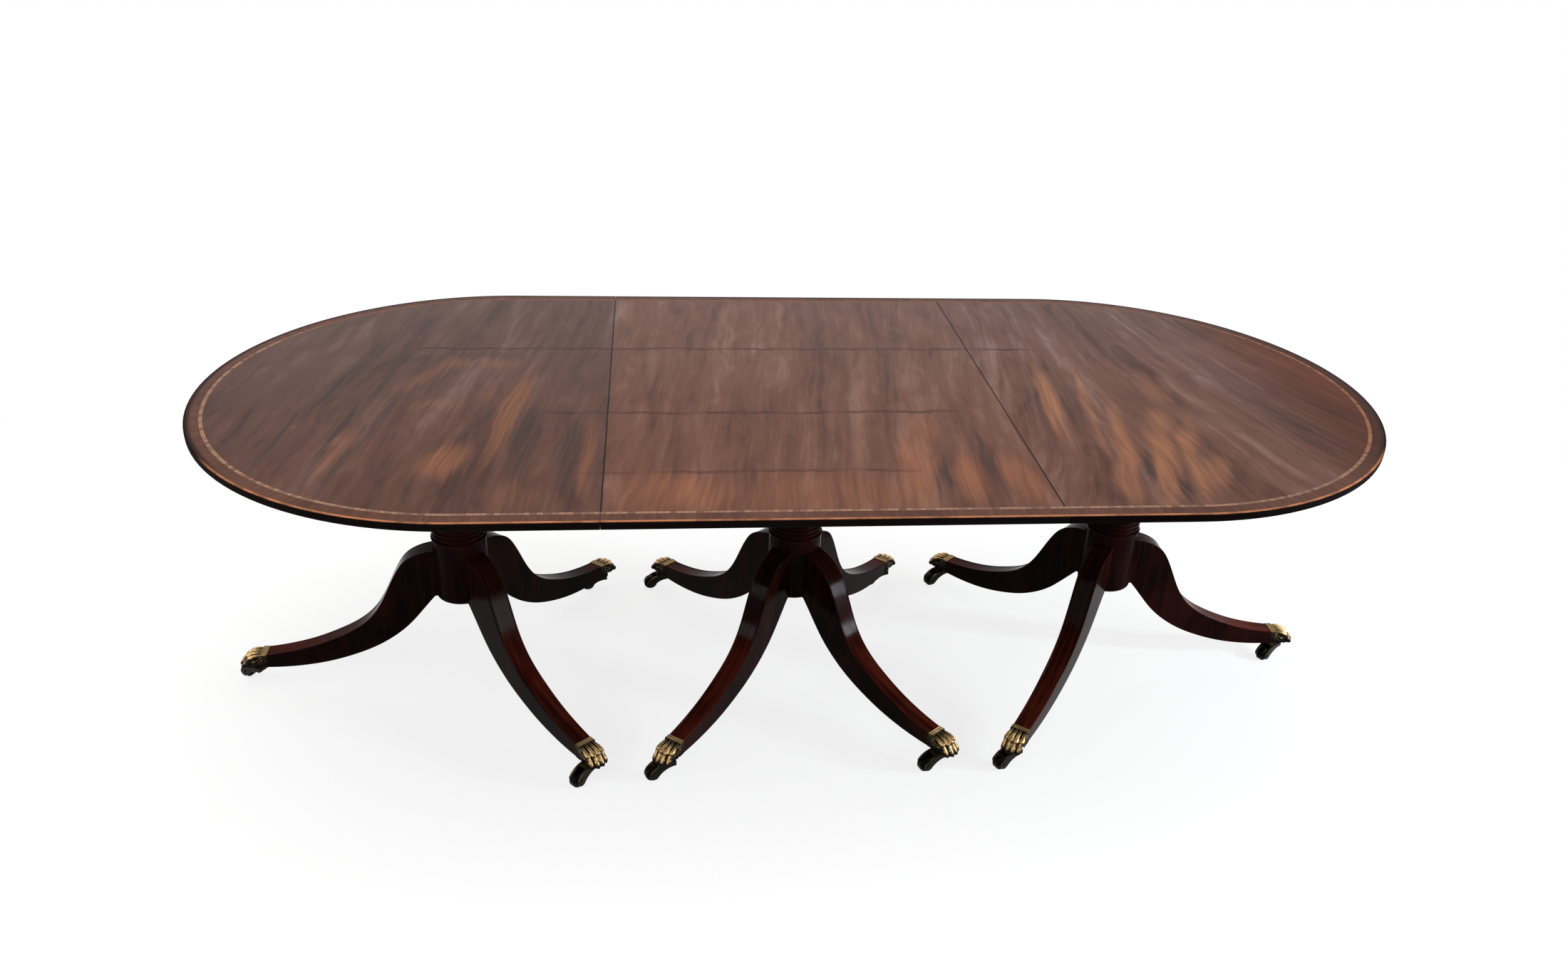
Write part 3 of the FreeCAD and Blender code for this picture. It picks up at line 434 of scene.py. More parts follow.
def top_wood(section):
    paint = Paint(section + "_top_mahogany")
    x, y, across = grain_place(paint, *GRAIN_LEANS[section])
    colour, fine, pores = field_colour(paint, section, x, y, across)
    # the board's stain, then the painted reflections towards the back and at the right end
    casts = (
        (1.0, BOARD_STAINS[section]),
        (paint.fade(y, *BACK_SHEEN_START), BACK_SHEEN),
        (paint.fade(x, *RIGHT_END_REFLECTION_START), RIGHT_END_REFLECTION),
    )
    for share, cast in casts:
        colour = paint.mix(share, colour, cast, "MULTIPLY")
    # dark line along each seam
    to_seam = paint.calc("ABSOLUTE", paint.calc("SUBTRACT", paint.calc("ABSOLUTE", x), SEAM_X))
    shade = paint.fade(to_seam, SEAM_SHADE, SEAM_SHADE / 2, 0.0, SEAM_DARKNESS)
    colour = paint.mix(shade, colour, EDGE_DARK)
    # lip with wear and a painted highlight along the front and painted shade behind, dark stain with painted shade
    # on the edge's sides, bare wood underneath
    out = edge_place(paint)[1]
    lip = paint.fade(out, HALF_WIDTH - EDGE_LIP, HALF_WIDTH - EDGE_LIP * LIP_FULL_SHARE)
    lip_mottle = paint.noise(paint.vector(x, y), **LIP_MOTTLE)
    worn_and_lit = paint.mix(paint.fade(lip_mottle, *LIP_MOTTLE_SHARE), colour, EDGE_WEAR_AND_HIGHLIGHT)
    colour = paint.mix(lip, colour, paint.mix(paint.fade(y, *LIP_FRONT_END), worn_and_lit, LIP_SHADE))
    slope = paint.facing_up()
    colour = paint.mix(paint.fade(slope, *EDGE_SLOPE), colour, EDGE_DARK)
    colour = paint.mix(paint.fade(slope, *UNDERSIDE_SLOPE), colour, UNDERSIDE)
    cloud = paint.noise(paint.vector(x, y), **TOP_CLOUD)
    polish = paint.fade(cloud, *NOISE_SPREAD, *TOP_ROUGHNESS)
    paint.surface(
        base_color=colour, roughness=paint.total(polish, paint.product(lip, LIP_DULLING)),
        specular_ior_level=BOARD_SHINE[section],
    )
    paint.bump(paint.total(paint.product(fine, FINE_BUMP_SHARE), pores), *TOP_BUMP)
    return paint.material


# Crossband round the top

BAND_DARK = srgb(62, 40, 33)
BAND_LIGHT = srgb(84, 55, 45)
BAND_GRAINS = {
    "ribbon": (0.4, {"per_metre": (90.0, 8.0, 1.0), "detail": 4.0, "distortion": 0.3}),
    "fine": (0.3, {"per_metre": (700.0, 40.0, 1.0), "detail": 4.0}),
    "broad": (0.3, {"per_metre": (5.0, 5.0, 1.0), "detail": 2.0}),
}
BAND_TONE = (0.36, 0.64)
BAND_RIM = 0.010
BAND_SHINE = 0.025
BAND_BUMP = (0.1, 0.0004)
# Painted dark reflection on the band and its inlay round the right end, along X
BAND_END_REFLECTION = (0.46, 0.26, 0.17, 1.0)
BAND_END_REFLECTION_START = (0.95, 1.20)


def crossband_wood():
    paint = Paint("crossband_mahogany")
    along, out, row = edge_place(paint)
    x, y, _ = paint.xyz()
    tone, grains = paint.tone((along, out, row), BAND_GRAINS)
    colour = paint.mix(paint.fade(tone, *BAND_TONE), BAND_DARK, BAND_LIGHT)
    # painted dark reflection round the right end
    colour = paint.mix(paint.fade(x, *BAND_END_REFLECTION_START), colour, BAND_END_REFLECTION, "MULTIPLY")
    # painted shade along the lip, except along the front, where the lip has its wear and painted highlight
    rim_shade = paint.fade(out, BAND_OUTER - BAND_RIM, BAND_OUTER)
    colour = paint.mix(paint.product(rim_shade, paint.fade(y, *LIP_FRONT_END)), colour, LIP_SHADE)
    paint.surface(
        base_color=colour, roughness=paint.fade(grains["broad"], *NOISE_SPREAD, *TOP_ROUGHNESS),
        specular_ior_level=BAND_SHINE,
    )
    paint.bump(grains["fine"], *BAND_BUMP)
    return paint.material


# Inlaid line of short segments between two dark strings

INLAY_TONES = (srgb(94, 68, 57), srgb(110, 82, 68), srgb(128, 96, 79))
INLAY_STRING = srgb(44, 27, 22)
INLAY_SEGMENT = 0.012
INLAY_HALF = 0.0045
INLAY_STRING_WIDTH = 0.0009
# Segments differ in length by this much of one, and in tone by a draw and by their turn
INLAY_JITTER = {"scale": 14.0, "detail": 1.0}
INLAY_JITTER_REACH = 1.3
INLAY_TURNS = 2.0
INLAY_DRAW_SHARE = 0.8
INLAY_TURN_SHARE = 0.2
INLAY_TO_MIDDLE = (0.15, 0.25)
INLAY_TO_LIGHT = (0.45, 0.55)
INLAY_FLECK = {"per_metre": (120.0, 500.0, 1.0)}
INLAY_FLECK_SHADE = (0.45, 0.7, 0.0, 0.35)
# Joints lie where the count of segments is whole
INLAY_HALF_SEGMENT = 0.5
INLAY_JOINT = (0.08, 0.03, 0.0, 0.5)
# Where the inlay fades into the band's colour towards the back, along Y, and how far
INLAY_HIDDEN = (0.22, 0.42)
INLAY_HIDDEN_SHARE = 0.8
INLAY_END_REFLECTION = (0.92, 0.66, 0.46, 1.0)
INLAY_ROUGHNESS = (0.27, 0.37)
INLAY_BUMP = (0.08, 0.0003)


def inlay_wood():
    paint = Paint("inlay_wood")
    along, out, row = edge_place(paint)
    x, y, _ = paint.xyz()
    jitter = paint.noise(paint.vector(along, row), **INLAY_JITTER)
    even = paint.calc("DIVIDE", along, INLAY_SEGMENT)
    place = paint.total(even, paint.product(jitter, INLAY_JITTER_REACH))
    number = paint.calc("FLOOR", place)
    segment = {"Vector": paint.vector(number, row)}
    draw = paint.add("ShaderNodeTexWhiteNoise", segment, noise_dimensions="2D").outputs[0]
    turn = paint.calc("MODULO", paint.calc("ABSOLUTE", number), INLAY_TURNS)
    tone = paint.total(paint.product(draw, INLAY_DRAW_SHARE), paint.product(turn, INLAY_TURN_SHARE))
    dark, middle, light = INLAY_TONES
    colour = paint.mix(paint.fade(tone, *INLAY_TO_MIDDLE), dark, middle)
    colour = paint.mix(paint.fade(tone, *INLAY_TO_LIGHT), colour, light)
    fleck = paint.grain((along, out, row), **INLAY_FLECK)
    colour = paint.mix(paint.fade(fleck, *INLAY_FLECK_SHADE), colour, dark)
    off = paint.calc("ABSOLUTE", paint.calc("SUBTRACT", out, INLAY_OUTER - INLAY_HALF))
    string = paint.fade(off, INLAY_HALF - INLAY_STRING_WIDTH, INLAY_HALF - INLAY_STRING_WIDTH / 2)
    joint = paint.fade(paint.calc("PINGPONG", place, INLAY_HALF_SEGMENT), *INLAY_JOINT)
    colour = paint.mix(paint.calc("MAXIMUM", string, joint), colour, INLAY_STRING)
    colour = paint.mix(paint.fade(y, *INLAY_HIDDEN, 0.0, INLAY_HIDDEN_SHARE), colour, BAND_LIGHT)
    # painted dark reflection round the right end
    colour = paint.mix(paint.fade(x, *BAND_END_REFLECTION_START), colour, INLAY_END_REFLECTION, "MULTIPLY")
    paint.surface(
        base_color=colour, roughness=paint.fade(fleck, *NOISE_SPREAD, *INLAY_ROUGHNESS),
        specular_ior_level=BAND_SHINE,
    )
    paint.bump(fleck, *INLAY_BUMP)
    return paint.material


# Dark polished mahogany of the pedestals

PEDESTAL_DARK = srgb(10, 4, 3)
PEDESTAL_RED = srgb(40, 15, 11)
PEDESTAL_LIT = srgb(86, 32, 21)
PEDESTAL_WEAR_AND_GLINT = srgb(92, 44, 32)
FIRST_COLUMN, LAST_COLUMN = -1.0, 1.0
# Grain along the radius from the column, round it, and up
PEDESTAL_GRAINS = {
    "broad": (0.45, {"per_metre": (3.0, 26.0, 5.0), "detail": 5.0, "distortion": 0.5}),
    "fine": (0.25, {"per_metre": (14.0, 260.0, 20.0), "detail": 4.0, "roughness": 0.65}),
}
PEDESTAL_CLOUD = {"scale": 9.0, "detail": 4.0}
PEDESTAL_CLOUD_SHARE = 0.3
PEDESTAL_TONE = (0.38, 0.64)
# Height of the legs below which painted light falls on their upper faces, past the painted shadow of the top, and
# which faces and tones it lights
LIGHT_REACH = (0.30, 0.20)
LIT_SLOPE = (0.3, 0.9)
LIT_TONE = (0.4, 0.6, 0.2, 0.9)
PEDESTAL_WEAR_AND_GLINT_REACH = 0.0016
PEDESTAL_WEAR_AND_GLINT_SHARE = (0.4, 0.65, 0.05, 0.7)
PEDESTAL_ROUGHNESS = (0.1, 0.18)
PEDESTAL_SHINE = 0.014
PEDESTAL_BUMP = (0.1, 0.0005)


def pedestal_wood():
    paint = Paint("pedestal_mahogany")
    x, y, z = paint.xyz()
    nearest = paint.calc("ROUND", paint.calc("DIVIDE", x, COLUMN_X))
    nearest = paint.calc("MINIMUM", paint.calc("MAXIMUM", nearest, FIRST_COLUMN), LAST_COLUMN)
    near_x = paint.calc("SUBTRACT", x, paint.product(nearest, COLUMN_X))
    place = (paint.length(near_x, y), paint.calc("ARCTAN2", y, near_x), z)
    grain, grains = paint.tone(place, PEDESTAL_GRAINS)
    cloud = paint.noise(paint.vector(x, y, z), **PEDESTAL_CLOUD)
    tone = paint.total(grain, paint.product(cloud, PEDESTAL_CLOUD_SHARE))
    colour = paint.mix(paint.fade(tone, *PEDESTAL_TONE), PEDESTAL_DARK, PEDESTAL_RED)
    # painted light: redder on what faces up, below the painted shadow of the top
    upward = paint.fade(paint.facing_up(), *LIT_SLOPE)
    lit_faces = paint.product(upward, paint.fade(tone, *LIT_TONE), paint.fade(z, *LIGHT_REACH))
    colour = paint.mix(lit_faces, colour, PEDESTAL_LIT)
    # worn edges with a painted highlight along them
    worn_and_lit = paint.product(paint.sharp_edge_share(PEDESTAL_WEAR_AND_GLINT_REACH), paint.fade(cloud, *PEDESTAL_WEAR_AND_GLINT_SHARE))
    colour = paint.mix(worn_and_lit, colour, PEDESTAL_WEAR_AND_GLINT)
    paint.surface(
        base_color=colour, roughness=paint.fade(cloud, *NOISE_SPREAD, *PEDESTAL_ROUGHNESS),
        specular_ior_level=PEDESTAL_SHINE,
    )
    paint.bump(grains["fine"], *PEDESTAL_BUMP)
    return paint.material


# Plain wood of the bearers and blocks under the top

BEARER_DARK = srgb(62, 40, 29)
BEARER_LIGHT = srgb(112, 76, 54)
BEARER_GRAINS = {
    "ribbon": (0.65, {"per_metre": (3.0, 60.0, 60.0), "detail": 4.0, "distortion": 0.5}),
    "fine": (0.35, {"per_metre": (16.0, 600.0, 600.0), "detail": 4.0}),
}
BEARER_TONE = (0.34, 0.66)
BEARER_ROUGHNESS = (0.5, 0.68)
BEARER_SHINE = 0.25
BEARER_BUMP = (0.25, 0.0006)


def bearer_wood():
    paint = Paint("bearer_wood")
    tone, grains = paint.tone(paint.xyz(), BEARER_GRAINS)
    paint.surface(
        base_color=paint.mix(paint.fade(tone, *BEARER_TONE), BEARER_DARK, BEARER_LIGHT),
        roughness=paint.fade(grains["fine"], *NOISE_SPREAD, *BEARER_ROUGHNESS),
        specular_ior_level=BEARER_SHINE,
    )
    paint.bump(grains["fine"], *BEARER_BUMP)
    return paint.material


# Metals

BRASS_BRIGHT = srgb(232, 192, 132)
BRASS_DULL = srgb(66, 52, 32)
BRASS_PATINA_AND_SHADE = srgb(9, 6, 4)
CASTOR_BRIGHT = srgb(120, 100, 66)
CASTOR_DULL = srgb(22, 18, 12)
CASTOR_DARK = srgb(7, 5, 4)
WHEEL_BRIGHT = srgb(22, 18, 14)
IRON_DARK = srgb(28, 26, 25)
IRON_RUST = srgb(74, 44, 30)
STEEL_DULL = srgb(92, 87, 82)
STEEL_BRIGHT = srgb(150, 146, 140)

# Metals of the imported pieces: colour of wear and painted highlight, dull colour, colour of patina and painted
# shade, share of dirt, roughness from clean to dirty
METALS = {
    "castor_brass": (CASTOR_BRIGHT, CASTOR_DULL, CASTOR_DARK, 0.7, (0.3, 0.6)),
    "wheel_brass": (WHEEL_BRIGHT, CASTOR_DARK, CASTOR_DARK, 0.8, (0.35, 0.6)),
    "seam_brass": (CASTOR_BRIGHT, CASTOR_DULL, CASTOR_DARK, 0.4, (0.3, 0.55)),
    "plate_iron": (IRON_RUST, IRON_DARK, IRON_DARK, 0.5, (0.45, 0.75)),
    "screw_steel": (STEEL_BRIGHT, STEEL_DULL, IRON_DARK, 0.3, (0.3, 0.55)),
}
METAL_CLOUD = {"scale": 70.0, "detail": 5.0, "roughness": 0.6}
METAL_GRIT = {"scale": 650.0}
METAL_GRIT_SHARE = 0.4
METAL_WEAR_AND_GLINT_REACH = 0.0012
METAL_HIGHLIGHT_ABOVE = (0.2, 0.8, 0.0, 0.7)
METAL_BRIGHT_IN_CLOUDS = (0.35, 0.6, 0.3, 1.0)
METAL_HOLLOW_REACH = 0.007
DIRT_IN_HOLLOWS = (0.85, 0.3)
DIRT_IN_CLOUDS = (0.48, 0.75)
SHADE_BELOW = (0.1, -0.6, 0.0, 0.9)
METAL_CLEAN = 0.8
METAL_LOST_TO_DIRT_AND_SHADE = -0.6
METAL_DULLING = (0.3, 0.9)
METAL_SHINE = 0.08
METAL_BUMP = (0.2, 0.0004)

# Brass of the paws, with X outwards from the leg's end and Z up from the sole
PAW_CLOUD = {"scale": 90.0, "detail": 5.0, "roughness": 0.6}
PAW_GRIT = {"scale": 700.0}
PAW_GLINT_AND_RUB_ON_TOES = (0.020, 0.036, 0.15, 1.0)
PAW_GLINT_AND_RUB_ON_COLLAR = (0.0145, 0.0135, 0.0, 0.4)
PAW_HIGHLIGHT_ABOVE = (0.25, 0.85)
PAW_HIGHLIGHT_IN_CLOUDS = (0.3, 0.6, 0.4, 1.0)
PAW_HOLLOW_REACH = 0.010
PAW_DIRT_IN_HOLLOWS = (0.92, 0.5)
PAW_SHADE_BELOW = (0.35, -0.15, 0.0, 0.9)
PAW_SHADE_AT_SOLE = (0.019, 0.009, 0.0, 0.9)
PAW_DIRT_IN_CLOUDS = (0.5, 0.75, 0.0, 0.4)
PAW_CLEAN = 0.75
PAW_ROUGHNESS = (0.22, 0.7)


def finish_metal(paint, colour, patina_and_shade, dirt_and_shade, cloud, grit, clean, roughness):
    # dirt and painted shade over the colour, which also take away the metal's shine
    dirt_and_shade = paint.capped(dirt_and_shade)
    paint.surface(
        base_color=paint.mix(dirt_and_shade, colour, patina_and_shade),
        metallic=paint.calc("MULTIPLY_ADD", dirt_and_shade, METAL_LOST_TO_DIRT_AND_SHADE, clean),
        roughness=paint.fade(paint.calc("MAXIMUM", dirt_and_shade, cloud), *METAL_DULLING, *roughness),
        specular_ior_level=METAL_SHINE,
    )
    paint.bump(paint.total(cloud, paint.product(grit, METAL_GRIT_SHARE)), *METAL_BUMP)
    return paint.material


def old_metal(name, bright, dull, patina_and_shade, patina_share, roughness):
    # cast metal, worn bright on its edges with a painted highlight there and on what faces up, dark patina in its
    # hollows and painted shade on what faces down
    paint = Paint(name)
    place = paint.vector(*paint.xyz())
    cloud = paint.noise(place, **METAL_CLOUD)
    grit = paint.noise(place, **METAL_GRIT)
    slope = paint.facing_up()
    # painted highlight on what faces up, wear with a painted highlight on the edges
    proud_and_lit = paint.calc("MAXIMUM", paint.sharp_edge_share(METAL_WEAR_AND_GLINT_REACH), paint.fade(slope, *METAL_HIGHLIGHT_ABOVE))
    colour = paint.mix(paint.product(proud_and_lit, paint.fade(cloud, *METAL_BRIGHT_IN_CLOUDS)), dull, bright)
    dirt_and_shade = paint.total(
        paint.fade(paint.hollow(METAL_HOLLOW_REACH), *DIRT_IN_HOLLOWS),
        paint.fade(cloud, *DIRT_IN_CLOUDS, 0.0, patina_share),
        # painted shade on what faces down
        paint.fade(slope, *SHADE_BELOW),
    )
    return finish_metal(paint, colour, patina_and_shade, dirt_and_shade, cloud, grit, METAL_CLEAN, roughness)


def paw_brass():
    # painted highlight with wear over the upward faces of the knuckles and less on the collar, dark patina and wax
    # between the toes, painted shade on what faces down and near the sole
    paint = Paint("paw_brass")
    x, y, z = paint.xyz()
    place = paint.vector(x, y, z)
    cloud = paint.noise(place, **PAW_CLOUD)
    grit = paint.noise(place, **PAW_GRIT)
    slope = paint.facing_up()
    along = paint.calc("MAXIMUM", paint.fade(x, *PAW_GLINT_AND_RUB_ON_TOES), paint.fade(x, *PAW_GLINT_AND_RUB_ON_COLLAR))
    worn_and_lit = paint.product(along, paint.fade(slope, *PAW_HIGHLIGHT_ABOVE), paint.fade(cloud, *PAW_HIGHLIGHT_IN_CLOUDS))
    colour = paint.mix(worn_and_lit, BRASS_DULL, BRASS_BRIGHT)
    dirt_and_shade = paint.total(
        paint.fade(paint.hollow(PAW_HOLLOW_REACH), *PAW_DIRT_IN_HOLLOWS),
        # painted shade on what faces down and near the sole
        paint.fade(slope, *PAW_SHADE_BELOW),
        paint.fade(z, *PAW_SHADE_AT_SOLE),
        paint.fade(cloud, *PAW_DIRT_IN_CLOUDS),
    )
    return finish_metal(paint, colour, BRASS_PATINA_AND_SHADE, dirt_and_shade, cloud, grit, PAW_CLEAN, PAW_ROUGHNESS)


MATERIALS = {
    "crossband_mahogany": crossband_wood(),
    "inlay_wood": inlay_wood(),
    "pedestal_mahogany": pedestal_wood(),
    "bearer_wood": bearer_wood(),
    "paw_brass": paw_brass(),
}
for name, settings in METALS.items():
    MATERIALS[name] = old_metal(name, *settings)
for section in SECTIONS:
    MATERIALS[section + "_top"] = top_wood(section)


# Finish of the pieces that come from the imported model

EDGE_SOFTENING = {
    "castor_fork": 0.0018, "castor_wheel": 0.0006, "bearers": 0.0012, "block": 0.0012, "sockets": 0.0006,
}
EDGE_ANGLE = math.radians(38)
EDGE_SEGMENTS = 2
WELD_REACH = 0.00001


def soften_edges(piece, width):
    weld = piece.modifiers.new("weld", "WELD")
    weld.merge_threshold = WELD_REACH
    bevel = piece.modifiers.new("soft_edges", "BEVEL")
    bevel.width = width
    bevel.segments = EDGE_SEGMENTS
    bevel.limit_method = "ANGLE"
    bevel.angle_limit = EDGE_ANGLE
    bevel.harden_normals = True


for row in frame["record"]["subparts"]:
    piece = frame["nodes"][row["node"]]
    piece.data.materials.clear()
    piece.data.materials.append(MATERIALS.get(row["node"]) or MATERIALS[row["material_slot"]])
    for ending, width in EDGE_SOFTENING.items():
        if row["node"].endswith(ending):
            soften_edges(piece, width)


# Cast brass lion paws, which stand for the plain caps
# A paw is modelled with X outwards along its leg from the leg's end, Y across and Z up from its sole

PAW_HEEL = 0.025
PAW_COLLAR_LENGTH = 0.014
PAW_COLLAR_HALF = 0.0208
PAW_COLLAR_LOW = 0.0024
PAW_COLLAR_HIGH = 0.0388
PAW_SOLE_HEIGHT = 0.043
PAW_VOXEL = 0.0006
PAW_SMOOTHING = 0.5
PAW_SMOOTHINGS = 3
PAW_FACES = 10000

# Toes: place across, how far each stands forward, and size against the outer toes
TOES = ((-0.0170, -0.0042, 1.0), (-0.0057, 0.0012, 1.06), (0.0057, 0.0012, 1.06), (0.0170, -0.0042, 1.0))

# Capsules of one toe: start and end (along, share of the place across, up) and their radii
TOE_CAPSULES = (
    ((0.0130, 0.80, 0.0335), (0.0350, 1.0, 0.0315), 0.0040, 0.0046),
    ((0.0385, 1.0, 0.0285), (0.0435, 1.0, 0.0265), 0.0062, 0.0064),
    ((0.0450, 1.0, 0.0245), (0.0520, 1.0, 0.0170), 0.0054, 0.0048),
    ((0.0530, 1.0, 0.0145), (0.0570, 1.0, 0.0090), 0.0060, 0.0060),
    ((0.0595, 1.0, 0.0100), (0.0615, 1.0, 0.0065), 0.0032, 0.0026),
)

# Lumps of the paw's body: centre and half sizes
BODY_LUMPS = (
    ((0.020, 0.0, 0.0175), (0.020, 0.0195, 0.0160)),
    ((0.034, 0.0, 0.0150), (0.021, 0.0200, 0.0145)),
    ((0.012, 0.0, 0.0190), (0.010, 0.0195, 0.0165)),
    ((0.041, 0.0, 0.0105), (0.0175, 0.0195, 0.0125)),
    ((0.043, 0.0, 0.0050), (0.0175, 0.0185, 0.0080)),
)

# Locks of hair on each side: start and end, each (along, across, up), and the radius there
HAIR_LOCKS = (
    ((0.013, 0.0185, 0.0300), (0.031, 0.0198, 0.0160), 0.0030, 0.0016),
    ((0.013, 0.0190, 0.0225), (0.027, 0.0202, 0.0090), 0.0030, 0.0016),
    ((0.013, 0.0185, 0.0150), (0.022, 0.0192, 0.0040), 0.0028, 0.0014),
)

# Reeds of the collar: shares of its length, and how far each stands proud of the collar's ground
COLLAR_REEDS = (
    (0.0, 0.0), (0.04, 0.0007), (0.18, 0.0011), (0.24, 0.0002), (0.32, 0.0002), (0.38, 0.0009),
    (0.60, 0.0010), (0.66, 0.0002), (0.74, 0.0002), (0.80, 0.0010), (0.96, 0.0012), (1.0, -0.0012),
)
COLLAR_REED_DEPTH = 0.0012
COLLAR_CORNER = 0.003
COLLAR_CORNER_STEPS = 4
BALL_STEPS = 20


def add_ball(bm, centre, half_sizes):
    place = Matrix.Translation(Vector(centre)) @ Matrix.Diagonal(Vector((*half_sizes, 1.0)))
    bmesh.ops.create_uvsphere(bm, u_segments=BALL_STEPS, v_segments=BALL_STEPS, radius=1.0, matrix=place)


def add_capsule(bm, start, end, start_radius, end_radius):
    start, end = Vector(start), Vector(end)
    run = end - start
    place = Matrix.Translation((start + end) / 2) @ run.to_track_quat("Z", "Y").to_matrix().to_4x4()
    bmesh.ops.create_cone(
        bm, cap_ends=True, segments=BALL_STEPS, radius1=start_radius, radius2=end_radius,
        depth=run.length, matrix=place,
    )
    add_ball(bm, start, (start_radius,) * 3)
    add_ball(bm, end, (end_radius,) * 3)


def paw_body():
    # overlapping lumps, fused into one casting by a fine remesh
    bm = bmesh.new()
    for centre, half_sizes in BODY_LUMPS:
        add_ball(bm, centre, half_sizes)
    for across, forward, size in TOES:
        for start, end, start_radius, end_radius in TOE_CAPSULES:
            ends = [Vector((along + forward, share * across, up)) for along, share, up in (start, end)]
            add_capsule(bm, *ends, start_radius * size, end_radius * size)
    for side in (-1, 1):
        for start, end, start_radius, end_radius in HAIR_LOCKS:
            ends = [(along, side * across, up) for along, across, up in (start, end)]
            add_capsule(bm, *ends, start_radius, end_radius)
    return bm


def finished_mesh(bm, name, modifiers):
    # mesh of the shape after these modifiers, each given as its kind and settings
    rough = bpy.data.meshes.new(name + "_rough")
    bm.to_mesh(rough)
    bm.free()
    holder = bpy.data.objects.new(name + "_rough", rough)
    bpy.context.scene.collection.objects.link(holder)
    for kind, settings in modifiers:
        modifier = holder.modifiers.new(kind.lower(), kind)
        for key, value in settings.items():
            setattr(modifier, key, value)
    bpy.context.view_layer.update()
    shaped = holder.evaluated_get(bpy.context.evaluated_depsgraph_get())
    mesh = bpy.data.meshes.new_from_object(shaped)
    bpy.data.objects.remove(holder)
    bpy.data.meshes.remove(rough)
    mesh.name = name
    return mesh


def collar_loop(proud_and_lit):
    # rounded rectangle round the leg's end, this far proud of the collar's ground
    sunk = COLLAR_REED_DEPTH - proud_and_lit
    half = PAW_COLLAR_HALF - sunk
    centre_y = half - COLLAR_CORNER
    centre_low = PAW_COLLAR_LOW + sunk + COLLAR_CORNER
    centre_high = PAW_COLLAR_HIGH - sunk - COLLAR_CORNER
    centres = (
        (centre_y, centre_high), (-centre_y, centre_high), (-centre_y, centre_low), (centre_y, centre_low),
    )
    points = []
    for quarter, (across, up) in enumerate(centres):
        for step in range(COLLAR_CORNER_STEPS + 1):
            angle = (quarter + step / COLLAR_CORNER_STEPS) * math.pi / 2
            points.append((across + COLLAR_CORNER * math.cos(angle), up + COLLAR_CORNER * math.sin(angle)))
    return points


def add_collar(bm):
    rings = []
    for share, proud_and_lit in COLLAR_REEDS:
        along = share * PAW_COLLAR_LENGTH
        rings.append([bm.verts.new((along, across, up)) for across, up in collar_loop(proud_and_lit)])
    for near, far in zip(rings, rings[1:]):
        for index in range(len(near)):
            after = (index + 1) % len(near)
            bm.faces.new((near[index], near[after], far[after], far[index]))
    bm.faces.new(rings[0][::-1])
    bm.faces.new(rings[-1])


def paw_mesh():
    body = finished_mesh(paw_body(), "paw_body", (
        ("REMESH", {"mode": "VOXEL", "voxel_size": PAW_VOXEL}),
        ("SMOOTH", {"factor": PAW_SMOOTHING, "iterations": PAW_SMOOTHINGS}),
    ))
    thinned = bmesh.new()
    thinned.from_mesh(body)
    for vertex in thinned.verts:
        vertex.co.z = max(vertex.co.z, 0.0)
    share = PAW_FACES / max(len(body.polygons), PAW_FACES)
    mesh = finished_mesh(thinned, "lion_paw", (("DECIMATE", {"ratio": share}),))
    whole = bmesh.new()
    whole.from_mesh(mesh)
    add_collar(whole)
    bmesh.ops.recalc_face_normals(whole, faces=whole.faces)
    whole.to_mesh(mesh)
    whole.free()
    mesh.shade_smooth()
    mesh.set_sharp_from_angle(angle=EDGE_ANGLE)
    mesh.materials.append(MATERIALS["paw_brass"])
    return mesh


def add_paws():
    mesh = paw_mesh()
    for name, joint in JOINTS.items():
        if not name.endswith("_swivel"):
            continue
        section = name.split("_")[0]
        low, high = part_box(section + "_column")
        column = Vector(((low.x + high.x) / 2, 0.0, 0.0))
        foot = Vector((joint["pos_m"][0], joint["pos_m"][1], 0.0))
        outward = foot - column
        start = foot - outward.normalized() * PAW_HEEL
        paw = bpy.data.objects.new(name.replace("_swivel", "_paw"), mesh)
        bpy.context.scene.collection.objects.link(paw)
        turn = Matrix.Rotation(math.atan2(outward.y, outward.x), 4, "Z")
        paw.matrix_world = Matrix.Translation((start.x, start.y, PAW_SOLE_HEIGHT)) @ turn
        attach(paw, section + "_section")
        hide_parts(section + "_paw_caps")


add_paws()


# Stage, lamps and camera

def background_ray(nodes, links):
    # 1 where the eye, a reflection or a view through glass meets the background
    path = nodes.new("ShaderNodeLightPath")
    result = path.outputs["Is Camera Ray"]
    for kind in ("Is Glossy Ray", "Is Transmission Ray"):
        larger = nodes.new("ShaderNodeMath")
        larger.operation = "MAXIMUM"
        links.new(result, larger.inputs[0])
        links.new(path.outputs[kind], larger.inputs[1])
        result = larger.outputs[0]
    return result


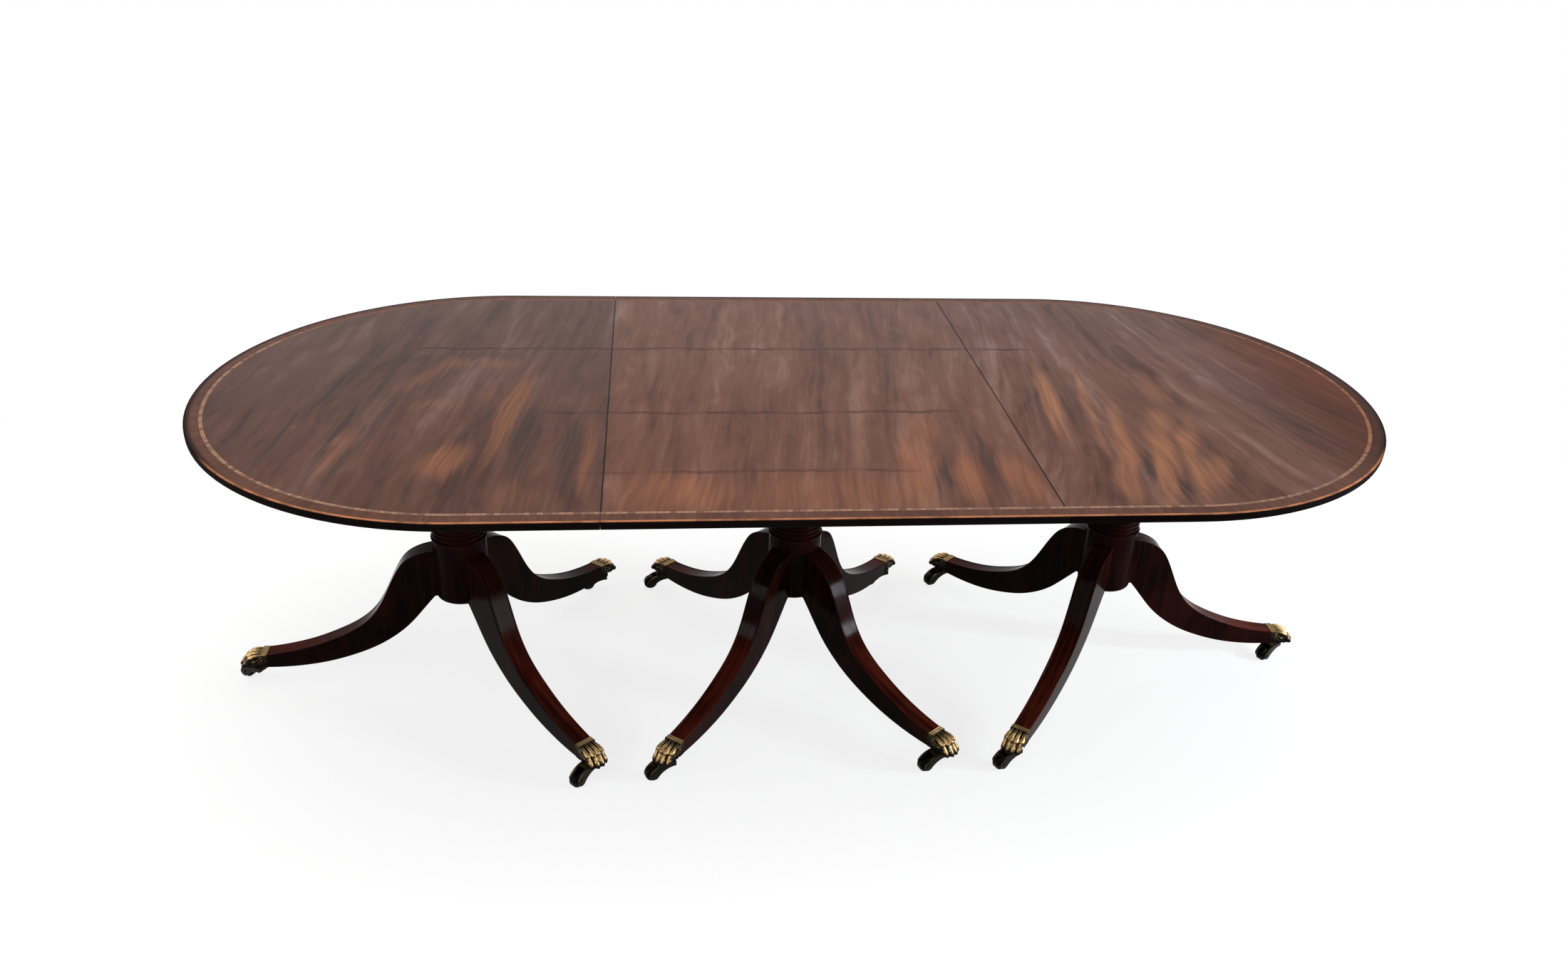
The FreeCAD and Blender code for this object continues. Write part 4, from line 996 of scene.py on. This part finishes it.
def add_floor():
    bm = bmesh.new()
    bmesh.ops.create_grid(bm, x_segments=1, y_segments=1, size=FLOOR_HALF)
    mesh = bpy.data.meshes.new("floor")
    bm.to_mesh(mesh)
    bm.free()
    floor = bpy.data.objects.new("floor", mesh)
    bpy.context.scene.collection.objects.link(floor)
    paint = Paint("floor_white")
    paint.nodes.remove(paint.shader)
    glow = {"Color": WHITE, "Strength": BACKGROUND_STRENGTH}
    white = paint.add("ShaderNodeEmission", glow).outputs[0]
    shaded = paint.add("ShaderNodeBsdfDiffuse", {"Color": FLOOR_SHADED}).outputs[0]
    # the shadow's share dies away from the table's outline
    x, y, _ = paint.xyz()
    reach = paint.length(paint.past(x, ROUND_START), y)
    share = paint.fade(reach, *FLOOR_SHADOW_REACH, FLOOR_SHADOW_SHARE, 0.0)
    seen = paint.add("ShaderNodeMixShader", {0: share, 1: white, 2: shaded}).outputs[0]
    plain = paint.add("ShaderNodeBsdfDiffuse", {"Color": FLOOR_BOUNCE}).outputs[0]
    eye = background_ray(paint.nodes, paint.links)
    whole = paint.add("ShaderNodeMixShader", {0: eye, 1: plain, 2: seen}).outputs[0]
    paint.links.new(whole, paint.nodes["Material Output"].inputs["Surface"])
    mesh.materials.append(paint.material)


def add_world():
    world = bpy.data.worlds.new("studio")
    world.use_nodes = True
    bpy.context.scene.world = world
    nodes, links = world.node_tree.nodes, world.node_tree.links
    background = nodes["Background"]
    background.inputs["Color"].default_value = WHITE
    level = nodes.new("ShaderNodeMapRange")
    level.inputs["To Min"].default_value = WORLD_FILL
    level.inputs["To Max"].default_value = BACKGROUND_STRENGTH
    links.new(background_ray(nodes, links), level.inputs["Value"])
    links.new(level.outputs[0], background.inputs["Strength"])


def add_lamps():
    for name, (place, size, power, colour, target) in LAMPS.items():
        lamp = bpy.data.lights.new(name, "AREA")
        lamp.shape = "RECTANGLE"
        lamp.size, lamp.size_y = size
        lamp.energy = power
        lamp.color = colour
        holder = bpy.data.objects.new(name, lamp)
        bpy.context.scene.collection.objects.link(holder)
        aim = Vector(target) - Vector(place)
        holder.matrix_world = Matrix.Translation(place) @ aim.to_track_quat("-Z", "Y").to_matrix().to_4x4()


def add_camera():
    forward = Vector((
        math.sin(CAMERA_YAW) * math.cos(CAMERA_PITCH), math.cos(CAMERA_YAW) * math.cos(CAMERA_PITCH),
        math.sin(CAMERA_PITCH),
    ))
    right = Vector((math.cos(CAMERA_YAW), -math.sin(CAMERA_YAW), 0.0))
    level = Matrix((right, right.cross(forward), -forward)).transposed().to_4x4()
    data = bpy.data.cameras.new("camera")
    data.sensor_fit = "HORIZONTAL"
    data.sensor_width = SENSOR_WIDTH_MM
    data.lens = SENSOR_WIDTH_MM * CAMERA_FOCAL_PIXELS / IMAGE_WIDTH
    camera = bpy.data.objects.new("camera", data)
    bpy.context.scene.collection.objects.link(camera)
    camera.matrix_world = Matrix.Translation(CAMERA_PLACE) @ level @ Matrix.Rotation(CAMERA_ROLL, 4, "Z")
    bpy.context.scene.camera = camera


add_floor()
add_world()
add_lamps()
add_camera()
bpy.context.scene.view_settings.view_transform = "Standard"
